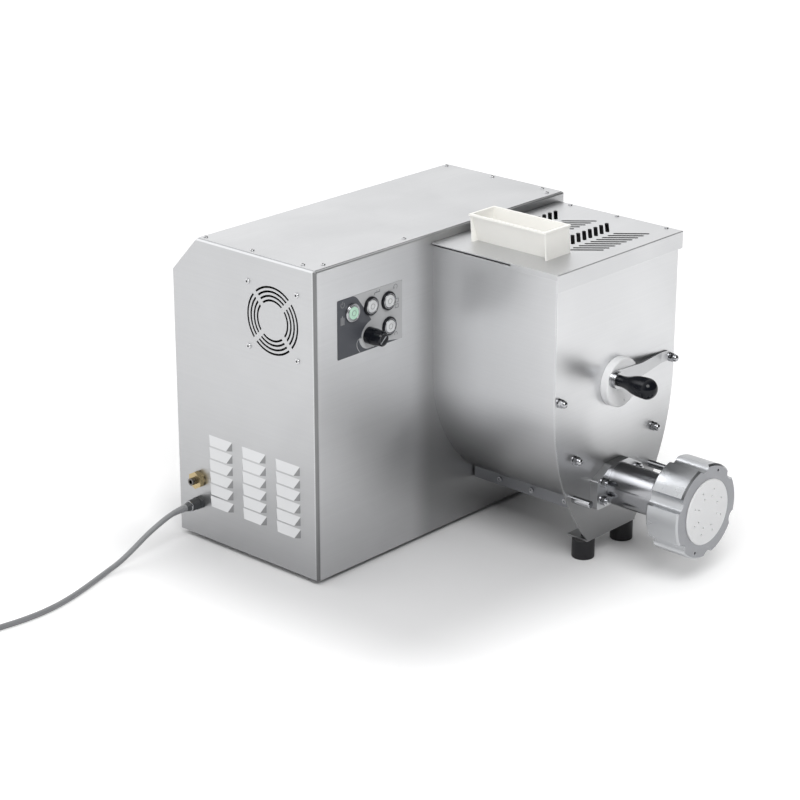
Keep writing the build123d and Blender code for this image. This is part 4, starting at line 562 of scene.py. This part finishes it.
AXES = {"X": (Vector((1, 0, 0)), Vector((0, 1, 0)), Vector((0, 0, 1))),
        "Y": (Vector((0, 1, 0)), Vector((0, 0, 1)), Vector((1, 0, 0)))}


def turned(name, centre, axis, profile, body, material, steps=64):
    """profile is a closed loop of (along the axis, radius) in millimetres, from centre."""
    along, side, up = AXES[axis]
    bm = bmesh.new()
    loops = []
    for i in range(steps):
        turn = math.tau * i / steps
        out = side * math.cos(turn) + up * math.sin(turn)
        loops.append([bm.verts.new(centre + along * (a / 1000) + out * (r / 1000)) for a, r in profile])
    for one, two in zip(loops, loops[1:] + loops[:1]):
        for k in range(len(profile)):
            j = (k + 1) % len(profile)
            bm.faces.new((one[k], one[j], two[j], two[k]))
    bmesh.ops.remove_doubles(bm, verts=bm.verts, dist=1e-6)
    bmesh.ops.dissolve_degenerate(bm, edges=bm.edges, dist=1e-7)
    bmesh.ops.recalc_face_normals(bm, faces=bm.faces)
    mesh = bpy.data.meshes.new(name)
    bm.to_mesh(mesh)
    bm.free()
    return as_piece(name, mesh, body, material)


print("the housing's corner is at", [round(v, 4) for v in at(0, 0, 0)])

# %% [markdown]
# ## Where the cord leaves the gland
#
# A cord that bends sharply at its gland would soon break inside.  A tapered sleeve with ribs spreads the
# bend.  It follows the cord's own line, so its rings are set square to points read from that line, and each
# ring's radius comes from a taper with ribs that fade towards the tip.

# %% Strain relief sleeve
SLEEVE_LONG, SLEEVE_ROOT_R, SLEEVE_TIP_R, SLEEVE_RIBS = 0.026, 0.0059, 0.0047, 5
RIB_HIGH, RIB_VALLEY = 0.0005, -0.4


def along_line(line, distance):
    """Place and direction after so much of the line."""
    for a, b in zip(line, line[1:]):
        step = (b - a).length
        if distance <= step:
            return a.lerp(b, distance / step), (b - a).normalized()
        distance -= step
    return line[-1].copy(), (line[-1] - line[-2]).normalized()


bm = bmesh.new()
rings, RING_STEPS, RING_SIDES = [], 60, 32
for i in range(RING_STEPS + 1):
    share = i / RING_STEPS
    middle, forward = along_line(cord_line, share * SLEEVE_LONG)
    radius = SLEEVE_ROOT_R + (SLEEVE_TIP_R - SLEEVE_ROOT_R) * share
    radius += RIB_HIGH * (1 - share) * max(RIB_VALLEY, math.sin(math.tau * SLEEVE_RIBS * share))
    across = forward.cross(Vector((0, 0, 1))).normalized()
    upward = across.cross(forward)
    rings.append([bm.verts.new(middle + (across * math.cos(math.tau * k / RING_SIDES)
                                         + upward * math.sin(math.tau * k / RING_SIDES)) * radius)
                  for k in range(RING_SIDES)])
for one, two in zip(rings, rings[1:]):
    for k in range(RING_SIDES):
        bm.faces.new((one[k], one[(k + 1) % RING_SIDES], two[(k + 1) % RING_SIDES], two[k]))
bm.faces.new(rings[0])
bm.faces.new(rings[-1])
bmesh.ops.recalc_face_normals(bm, faces=bm.faces)
sleeve_mesh = bpy.data.meshes.new("strain_relief")
bm.to_mesh(sleeve_mesh)
bm.free()
as_piece("strain_relief", sleeve_mesh, "root", finish["cord_grey"])
GLAND_Y, GLAND_Z = 266.5, 66.0
gland_profile = [(-24.6, 7.0), (-24.6, 8.6), (-24.0, 9.2), (-22.6, 9.4), (-22.0, 9.2), (-22.0, 8.0)]
turned("gland_ring", at(0, GLAND_Y, GLAND_Z), "X", gland_profile, "root", finish["bright_fastener"])
print("sleeve is", SLEEVE_LONG * 1000, "mm long")

# %% Tie round the coil
# A hook-and-loop strap goes once round the winding: a flat band whose path is a rounded rectangle.
TIE_TURN, TIE_WIDE, TIE_THICK = math.radians(200), 0.016, 0.0012
TIE_OUT, TIE_IN, TIE_LOW, TIE_HIGH, TIE_CORNER = 0.0583, 0.0390, 0.0001, 0.0282, 0.006
far_r, near_r = TIE_OUT - TIE_CORNER, TIE_IN + TIE_CORNER
high_z, low_z = TIE_HIGH - TIE_CORNER, TIE_LOW + TIE_CORNER
path = []
for centre_r, centre_z, first in ((far_r, high_z, 0), (near_r, high_z, 90), (near_r, low_z, 180),
                                  (far_r, low_z, 270)):
    for k in range(7):
        bend = math.radians(first + 15 * k)
        path.append((centre_r + TIE_CORNER * math.cos(bend), centre_z + TIE_CORNER * math.sin(bend), bend))
bm = bmesh.new()
outward = Vector((-math.sin(TIE_TURN), -math.cos(TIE_TURN), 0))
sideways = Vector((outward.y, -outward.x, 0))
loops = []
for radius, height, bend in path:
    centre = Vector((*COIL_CENTRE, 0)) + outward * radius + Vector((0, 0, height))
    inward = -(outward * math.cos(bend) + Vector((0, 0, math.sin(bend)))) * TIE_THICK
    loops.append([bm.verts.new(centre + sideways * s * TIE_WIDE / 2 + inward * t)
                  for s, t in ((-1, 0), (1, 0), (1, 1), (-1, 1))])
for one, two in zip(loops, loops[1:] + loops[:1]):
    for k in range(4):
        bm.faces.new((one[k], one[(k + 1) % 4], two[(k + 1) % 4], two[k]))
bmesh.ops.recalc_face_normals(bm, faces=bm.faces)
tie_mesh = bpy.data.meshes.new("coil_tie")
bm.to_mesh(tie_mesh)
bm.free()
as_piece("coil_tie", tie_mesh, "root", finish["matte_black"])
print("tie is", TIE_WIDE * 1000, "mm wide")

# %% Metal pins of the plug
PLUG_FRONT, PIN_APART = COIL_CENTRE[0] + 0.0290, 0.019
pin_profile = [(11.0, 0), (10.6, 1.6), (9.5, 2.5), (0, 2.5), (0, 0)]
for number, side in enumerate((-1, 1)):
    start = Vector((PLUG_FRONT, PLUG_ENTRY[1] + side * PIN_APART / 2, PLUG_ENTRY[2]))
    turned(f"plug_pin_{number}", start, "X", pin_profile, "root", finish["bright_fastener"],
           steps=24)
print("pins made")

# %% [markdown]
# ## The printed label
#
# The control label is a charcoal film with a light grey field.  Ink has no thickness worth modelling, but a
# filled flat curve, a few hundredths of a millimetre thick and as far in front of the film, gives a crisp
# edge at any size and is cut round each button for free: a curve inside another one makes a hole.

# %% A printing helper
FILM_FRONT, SECOND_COAT, INK_HALF = -0.4, 0.09, 0.00002
light_ink, mid_ink, dark_ink, pale_ink = [
    moulded(name, colour, 0.42, grains=2600.0, bump=0.1, shade=0.05) for name, colour in (
        ("light grey ink", (0.46, 0.465, 0.475)), ("mid grey ink", (0.26, 0.265, 0.275)),
        ("dark grey ink", (0.075, 0.08, 0.09)), ("pale ink", (0.50, 0.505, 0.515)))]


def printed(name, outlines, ink, lift=0.05, body="root", front=FILM_FRONT):
    """outlines are closed loops of (x, z), or (x, z, 1) for a sharp corner, in mm on the housing's face."""
    curve = bpy.data.curves.new(name, "CURVE")
    curve.dimensions, curve.fill_mode, curve.extrude, curve.resolution_u = "2D", "BOTH", INK_HALF, 10
    for loop in outlines:
        spline = curve.splines.new("BEZIER")
        spline.bezier_points.add(len(loop) - 1)
        spline.use_cyclic_u = True
        for point, (x, z, *sharp) in zip(spline.bezier_points, loop):
            point.co = (x / 1000, z / 1000, 0)
            point.handle_left_type = point.handle_right_type = "VECTOR" if sharp else "AUTO"
    drawn = bpy.data.objects.new(name + "_drawn", curve)
    scene.collection.objects.link(drawn)
    bpy.context.view_layer.update()
    mesh = bpy.data.meshes.new_from_object(drawn.evaluated_get(bpy.context.evaluated_depsgraph_get()))
    bpy.data.objects.remove(drawn)
    mesh.transform(Matrix.Translation(at(0, front - lift, 0)) @ Matrix.Rotation(math.pi / 2, 4, "X"))
    return as_piece(name, mesh, body, ink)


def ring_of(x, z, radius, start=0, end=360, count=12):
    """Points round an arc, in degrees from +X towards +Z."""
    turns = [math.radians(start + (end - start) * k / count) for k in range(count + (end - start < 360))]
    return [(x + radius * math.cos(t), z + radius * math.sin(t)) for t in turns]


def arc_band(x, z, outer, inner, start, end):
    """A band between two radii, sharp at its four corners."""
    far, near = ring_of(x, z, outer, start, end), ring_of(x, z, inner, start, end)[::-1]
    for side in (far, near):
        side[0], side[-1] = (*side[0], 1), (*side[-1], 1)
    return far + near


# %% The light field
BUTTONS = {"start": (79.4, 430.5), "mix": (121.0, 431.0), "extrude": (160.0, 430.0), "stop": (161.6, 388.5)}
KNOB_X, KNOB_Z = 116.5, 385.0
light_field = [
    (82, 456.0, 1), (89.7, 452), (98.5, 441.5), (106.6, 431.0), (115, 419.5), (122.4, 408.5, 1),
    (113.6, 404.6), (106.6, 399.2), (102.4, 393.4), (100.5, 387), (101.2, 378.5), (105.6, 370.5), (114, 364.6),
    (128, 363, 1), (140, 366.4), (154, 365.6), (184, 361.0, 1), (190.5, 361.0, 1), (192.5, 363.0, 1),
    (192.5, 454.0, 1), (190.5, 456.0, 1)]
tail_line = [(98.3, 385.5, 1), (91.2, 381.4), (89.4, 375.5), (91.6, 368), (96.8, 361.4, 1), (97.8, 361.4, 1),
             (92.6, 368.4), (90.4, 375.5), (92.0, 380.8), (98.6, 384.6, 1)]
holes = [ring_of(*BUTTONS[name], 11.2) for name in ("mix", "extrude", "stop")] + [ring_of(KNOB_X, KNOB_Z, 5.0)]
printed("label_light_field", [light_field] + holes, light_ink)
printed("label_edge_line", [arc_band(118.9, 385, 18.9, 18.3, 150, 178)], pale_ink, lift=SECOND_COAT)
printed("label_crescent", [arc_band(KNOB_X, KNOB_Z, 21.5, 15.5, 184, 300)], pale_ink, lift=SECOND_COAT)
printed("label_tail_line", [tail_line], light_ink)
print("light field has", len(light_field), "points")

# %% Small signs
# Plain signs for power, pause, a turn and a block: shapes without letters.
def box_of(x, z, wide, tall):
    return [(x, z, 1), (x + wide, z, 1), (x + wide, z + tall, 1), (x, z + tall, 1)]


signs = [arc_band(59.4, 447.0, 4.6, 3.8, -230, 50), box_of(59.0, 447.6, 0.8, 5.0)]
signs += [box_of(x, 415.0, 2.0, tall) for x, tall in ((54.6, 12.5), (57.6, 14.5), (60.6, 11.5))]
printed("label_light_signs", signs, mid_ink)
dark_signs = [box_of(*box) for box in ((129.5, 448.9, 12.5, 1.1), (129.5, 445.8, 1.1, 3.1),
                                       (140.9, 450.0, 1.1, 3.1), (134.6, 450.0, 1.1, 2.4))]
dark_signs += [arc_band(177.4, 448.4, 4.4, 3.6, -60, 200),
               [(171.8, 448.2, 1), (175.4, 448.2, 1), (173.6, 445.2, 1)]]
for low in (413.4, 422.4):
    dark_signs += [box_of(176.6, low, 7.8, 6.4), box_of(177.4, low + 0.8, 6.2, 4.8)]
dark_signs += [arc_band(178.4, 371.4, 3.4, 2.6, -40, 220)]
printed("label_dark_signs", dark_signs, dark_ink, lift=SECOND_COAT)
print("signs printed")

# %% [markdown]
# ## Rings round the buttons
#
# A chrome ring lies in each bezel and a raised ring on each cap.  They are the same shape in two sizes, so
# one Geometry Nodes tree makes them: it sweeps a small round wire round a circle, sets one on each point it
# is given, turns copies into real faces and gives them their material.

# %% The ring tree
def open_node_tree(name, takes):
    tree = bpy.data.node_groups.new(name, "GeometryNodeTree")
    tree.interface.new_socket("Geometry", in_out="INPUT", socket_type="NodeSocketGeometry")
    for socket, kind in takes:
        tree.interface.new_socket(socket, in_out="INPUT", socket_type=kind)
    tree.interface.new_socket("Geometry", in_out="OUTPUT", socket_type="NodeSocketGeometry")
    return tree, tree.nodes.new("NodeGroupInput").outputs, tree.nodes.new("NodeGroupOutput")


def end_tree(tree, takes, leaves, shape):
    """Sets a shape on each point; Realize Instances and Set Material close every tree."""
    copies = add(tree, "GeometryNodeInstanceOnPoints",
                 {"Points": takes["Geometry"], "Instance": shape, "Rotation": takes["Turn"]})
    real = add(tree, "GeometryNodeRealizeInstances", {0: copies.outputs[0]})
    painted = add(tree, "GeometryNodeSetMaterial", {"Geometry": real.outputs[0], "Material": takes["Material"]})
    tree.links.new(painted.outputs[0], leaves.inputs[0])


def grown(name, tree, places, body, material, slot_name, **sizes):
    """Runs a tree on some points and keeps the result as a plain mesh."""
    seed = bpy.data.meshes.new(name + "_places")
    seed.from_pydata([tuple(p) for p in places], [], [])
    carrier = bpy.data.objects.new(name + "_places", seed)
    scene.collection.objects.link(carrier)
    modifier = carrier.modifiers.new("grow", "NODES")
    modifier.node_group = tree
    sizes["Material"] = material
    for socket in tree.interface.items_tree:
        if socket.in_out == "INPUT" and socket.name.replace(" ", "_") in sizes:
            modifier[socket.identifier] = sizes[socket.name.replace(" ", "_")]
    bpy.context.view_layer.update()
    mesh = bpy.data.meshes.new_from_object(carrier.evaluated_get(bpy.context.evaluated_depsgraph_get()))
    carrier.modifiers.remove(modifier)
    bpy.data.objects.remove(carrier)
    print(name, "has", len(mesh.polygons), "faces")
    return as_piece(name, mesh, body, material)


ring_tree, takes, leaves = open_node_tree("rings", [
    ("Ring Radius", FLOAT), ("Wire Radius", FLOAT), ("Turn", VECTOR), ("Material", "NodeSocketMaterial")])
hoop = add(ring_tree, "GeometryNodeCurvePrimitiveCircle", {"Resolution": 64, "Radius": takes["Ring Radius"]})
wire = add(ring_tree, "GeometryNodeCurvePrimitiveCircle", {"Resolution": 12, "Radius": takes["Wire Radius"]})
swept = add(ring_tree, "GeometryNodeCurveToMesh", {"Curve": hoop.outputs[0], "Profile Curve": wire.outputs[0]})
end_tree(ring_tree, takes, leaves, swept.outputs[0])
print("tree:", ring_tree.name)

# %% Bezel rings and cap rings
FACE_ON = (math.pi / 2, 0.0, 0.0)
BEZEL_RING_AT, CAP_RING_AT, CAP_GROOVE_AT = -4.5, -5.85, -5.45
grown("bezel_rings", ring_tree, [at(x, BEZEL_RING_AT, z) for x, z in BUTTONS.values()], "root",
      finish["bright_fastener"], "bright_fastener", Ring_Radius=0.0117, Wire_Radius=0.00075, Turn=FACE_ON)
cap_finish = {"start": ("green_cap", finish["green_cap"])}
for name, (x, z) in BUTTONS.items():
    slot_name, cap_material = cap_finish.get(name, ("clear_white_cap", finish["clear_white_cap"]))
    grown(f"{name}_cap_ring", ring_tree, [at(x, CAP_RING_AT, z)], f"{name}_button", cap_material, slot_name,
          Ring_Radius=0.0074, Wire_Radius=0.0004, Turn=FACE_ON)
    # painted shade: a thin dark ring on each cap stands for the shade in its groove
    grown(f"{name}_cap_groove", ring_tree, [at(x, CAP_GROOVE_AT, z)], f"{name}_button",
          finish["gland_plastic"], "gland_plastic", Ring_Radius=0.0042, Wire_Radius=0.0003, Turn=FACE_ON)

# %% [markdown]
# ## Knob, sockets and knurling
#
# The speed knob has a bright pointer and a ring at its tip.  Each screw head has a hexagon socket, whose
# shade a dark six-sided plate paints at this size.  The collar under the latch handle is knurled: a tree sets
# a thin rib at each step round it.

# %% Knob pointer
KNOB_TIP, POINTER_HALF = -32.5, 0.8
rim_profile = [(-0.12, 8.6), (-0.12, 9.4), (0.3, 9.6), (0.3, 8.4)]
turned("knob_rim", at(KNOB_X, KNOB_TIP, KNOB_Z), "Y", rim_profile, "knob", finish["gland_plastic"])
pointer_turn, POINTER_REACH = math.radians(219), (-6.5, 9.6)
pointer_ends = [(math.cos(pointer_turn) * r, math.sin(pointer_turn) * r) for r in POINTER_REACH]
px, pz = -math.sin(pointer_turn) * POINTER_HALF, math.cos(pointer_turn) * POINTER_HALF
pointer = [(KNOB_X + pointer_ends[end][0] + side * px, KNOB_Z + pointer_ends[end][1] + side * pz, 1)
           for end, side in ((0, 1), (1, 1), (1, -1), (0, -1))]
pointer_piece = printed("knob_pointer", [pointer], finish["bright_fastener"], lift=0.12, body="knob",
                        front=KNOB_TIP)
print("pointer stands at", round(math.degrees(pointer_turn)), "degrees")

# %% Hexagon sockets
socket_shade_tree, takes, leaves = open_node_tree("hexagons", [
    ("Across", FLOAT), ("Turn", VECTOR), ("Material", "NodeSocketMaterial")])
plate = add(socket_shade_tree, "GeometryNodeMeshCylinder",
            {"Vertices": 6, "Radius": takes["Across"], "Depth": 0.0001})
end_tree(socket_shade_tree, takes, leaves, plate.outputs[0])
TOP_HEADS_AT, SIDE_HEADS_AT = 515.65, -2.43
FAN_Y, FAN_Z, FAN_SCREW_HALF = 91, 416, 52.5
TOP_SCREWS = [(x, 16.0) for x in (34.5, 214.7, 393.2, 565.0)]
TOP_SCREWS += [(x, y) for x in (13.5, 579.5) for y in (38.0, 146.0, 249.0)]
# painted shade: flat dark hexagons on the screw heads stand for the shade inside each socket
grown("top_screw_sockets", socket_shade_tree, [at(x, y, TOP_HEADS_AT) for x, y in TOP_SCREWS], "root",
      finish["matte_black"], "matte_black", Across=0.0019, Turn=(0.0, 0.0, 0.4))
FAN_SCREWS = [(FAN_Y + i * FAN_SCREW_HALF, FAN_Z + k * FAN_SCREW_HALF) for i in (-1, 1) for k in (-1, 1)]
grown("fan_screw_sockets", socket_shade_tree, [at(SIDE_HEADS_AT, y, z) for y, z in FAN_SCREWS], "root",
      finish["matte_black"], "matte_black", Across=0.0020, Turn=(0.0, math.pi / 2, 0.0))

# %% Knurled collar
knurl_tree, takes, leaves = open_node_tree("knurl", [
    ("Collar Radius", FLOAT), ("Collar Length", FLOAT), ("Ribs", "NodeSocketInt"), ("Turn", VECTOR),
    ("Material", "NodeSocketMaterial")])
round_line = add(knurl_tree, "GeometryNodeMeshCircle",
                 {"Vertices": takes["Ribs"], "Radius": takes["Collar Radius"]})
size = add(knurl_tree, "ShaderNodeCombineXYZ", {"X": 0.0005, "Y": 0.0007, "Z": takes["Collar Length"]})
rib = add(knurl_tree, "GeometryNodeMeshCube", {"Size": size.outputs[0]})
place = add(knurl_tree, "GeometryNodeInputPosition")
face_out = add(knurl_tree, "FunctionNodeAlignRotationToVector", {"Vector": place.outputs[0]})
face_out.axis = "X"
ribs = add(knurl_tree, "GeometryNodeInstanceOnPoints",
           {"Points": round_line.outputs[0], "Instance": rib.outputs[0], "Rotation": face_out.outputs[0]})
whole = add(knurl_tree, "GeometryNodeRealizeInstances", {0: ribs.outputs[0]})
end_tree(knurl_tree, takes, leaves, whole.outputs[0])
gland_middle, collar_middle = at(-14, GLAND_Y, GLAND_Z), at(394, -271, 302.5)
grown("gland_ribs", knurl_tree, [gland_middle], "root", finish["gland_plastic"], "gland_plastic",
      Collar_Radius=0.0091, Collar_Length=0.0150, Ribs=22, Turn=(0.0, math.pi / 2, 0.0))
grown("collar_knurl", knurl_tree, [collar_middle], "mixer_cap", finish["polished_steel"], "polished_steel",
      Collar_Radius=0.01355, Collar_Length=0.0066, Ribs=72, Turn=FACE_ON)

# %% [markdown]
# ## Floor and light
#
# A pale floor that runs to the horizon and a sky that is brighter behind and above than in front.  Satin
# steel is a blurred mirror, so this slow change of brightness is what gives its faces their gradients.  Round
# the machine the floor is painted greyer, a painted shadow that the steel reflects too.  The floor gets a
# little light of its own where the camera or a reflection sees it, so that it stays white, and so does the sky
# where the camera sees it past the floor.

# %% Floor
FLOOR_HALF = 60
# the near colour is a painted shadow: the floor round the machine is greyer, and the steel reflects it darker
FLOOR_PAINTED_SHADOW, FLOOR_FAR, FLOOR_FADE = (0.73, 0.73, 0.735), (0.93, 0.93, 0.93), (0.0, 0.28)
NEAR_MIDDLE, NEAR_HALF = (-0.025, 0.10, 0.0), (0.26, 0.24, 0.0)
FLOOR_LIFT, FLOOR_FAR_LIFT, FLOOR_FAR_REACH = 0.26, 0.5, (0.4, 4.0)
floor_mesh = bpy.data.meshes.new("floor")
floor_mesh.from_pydata([(x * FLOOR_HALF, y * FLOOR_HALF, 0) for x, y in ((-1, -1), (1, -1), (1, 1), (-1, 1))],
                       [], [(0, 1, 2, 3)])
floor = bpy.data.objects.new("floor", floor_mesh)
scene.collection.objects.link(floor)
floor_paint, tree, bsdf, place = open_material("pale floor")


def vector_node(operation, first, second=ORIGIN):
    return add(tree, "ShaderNodeVectorMath", {0: first, 1: second}, operation=operation).outputs


# distance from a rectangle of painted shadow: the floor round the machine is greyer
folded = vector_node("ABSOLUTE", vector_node("SUBTRACT", place, NEAR_MIDDLE)[0])[0]
outside = vector_node("MAXIMUM", vector_node("SUBTRACT", folded, NEAR_HALF)[0])[0]
distance = vector_node("LENGTH", outside)["Value"]
far = add(tree, "ShaderNodeMapRange", {"Value": distance, "From Min": FLOOR_FADE[0], "From Max": FLOOR_FADE[1]},
          interpolation_type="SMOOTHSTEP").outputs[0]
tree.links.new(blend_colours(tree, far, FLOOR_PAINTED_SHADOW, FLOOR_FAR), bsdf.inputs["Base Color"])
bsdf.inputs["Roughness"].default_value = 0.9
bsdf.inputs["Specular IOR Level"].default_value = 0.1
lift = add(tree, "ShaderNodeMapRange",
           {"Value": distance, "From Min": FLOOR_FAR_REACH[0], "From Max": FLOOR_FAR_REACH[1],
            "To Min": FLOOR_LIFT, "To Max": FLOOR_FAR_LIFT}).outputs[0]
seen_by = add(tree, "ShaderNodeLightPath").outputs
reflected = math_node(tree, "ADD", seen_by["Is Glossy Ray"], seen_by["Is Transmission Ray"])
looked_at = math_node(tree, "ADD", seen_by["Is Camera Ray"], reflected, clamp=True)
strength = math_node(tree, "MULTIPLY", looked_at, math_node(tree, "MULTIPLY", far, lift))
glow = add(tree, "ShaderNodeEmission", {"Color": (1, 1, 1, 1), "Strength": strength})
both = add(tree, "ShaderNodeAddShader", {0: bsdf.outputs[0], 1: glow.outputs[0]})
tree.links.new(both.outputs[0], tree.nodes["Material Output"].inputs["Surface"])
floor_mesh.materials.append(floor_paint)
print("floor fades over", FLOOR_FADE[1], "m")

# %% Sky
SKY_BRIGHT_SIDE, SKY_LOW, SKY_HIGH = Vector((-0.15, 0.93, 0.33)).normalized(), 0.08, 1.3
SKY_RAMP, SKY_SEEN = (-0.3, 0.8), 1.0
world = bpy.data.worlds.new("sky")
scene.world = world
world.use_nodes = True
sky_tree = world.node_tree
direction = add(sky_tree, "ShaderNodeTexCoord").outputs["Generated"]
towards = add(sky_tree, "ShaderNodeVectorMath", {0: direction, 1: SKY_BRIGHT_SIDE}, operation="DOT_PRODUCT")
level = add(sky_tree, "ShaderNodeMapRange",
            {"Value": towards.outputs["Value"], "From Min": SKY_RAMP[0], "From Max": SKY_RAMP[1],
             "To Min": SKY_LOW, "To Max": SKY_HIGH}, interpolation_type="SMOOTHSTEP")
seen = add(sky_tree, "ShaderNodeLightPath").outputs["Is Camera Ray"]
strength = add(sky_tree, "ShaderNodeMix", {0: seen, 2: level.outputs[0], 3: SKY_SEEN})
sky_tree.links.new(strength.outputs[0], sky_tree.nodes["Background"].inputs["Strength"])
sky_tree.nodes["Background"].inputs["Color"].default_value = (1, 1, 1, 1)
print("sky from", SKY_LOW, "to", SKY_HIGH)

# %% Lamp
LAMP_AT, LAMP_AIM, LAMP_WIDE, LAMP_WATTS = Vector((-1.1, -1.6, 2.4)), Vector((0, 0, 0.3)), 1.6, 48.0
lamp = bpy.data.objects.new("soft_lamp", bpy.data.lights.new("soft_lamp", "AREA"))
lamp.data.shape = "DISK"
lamp.data.size = LAMP_WIDE
lamp.data.energy = LAMP_WATTS
lamp.location = LAMP_AT
lamp.rotation_mode = "QUATERNION"
lamp.rotation_quaternion = (LAMP_AT - LAMP_AIM).to_track_quat("Z", "Y")
scene.collection.objects.link(lamp)
scene.view_settings.view_transform = "Standard"
print("lamp of", LAMP_WATTS, "W")
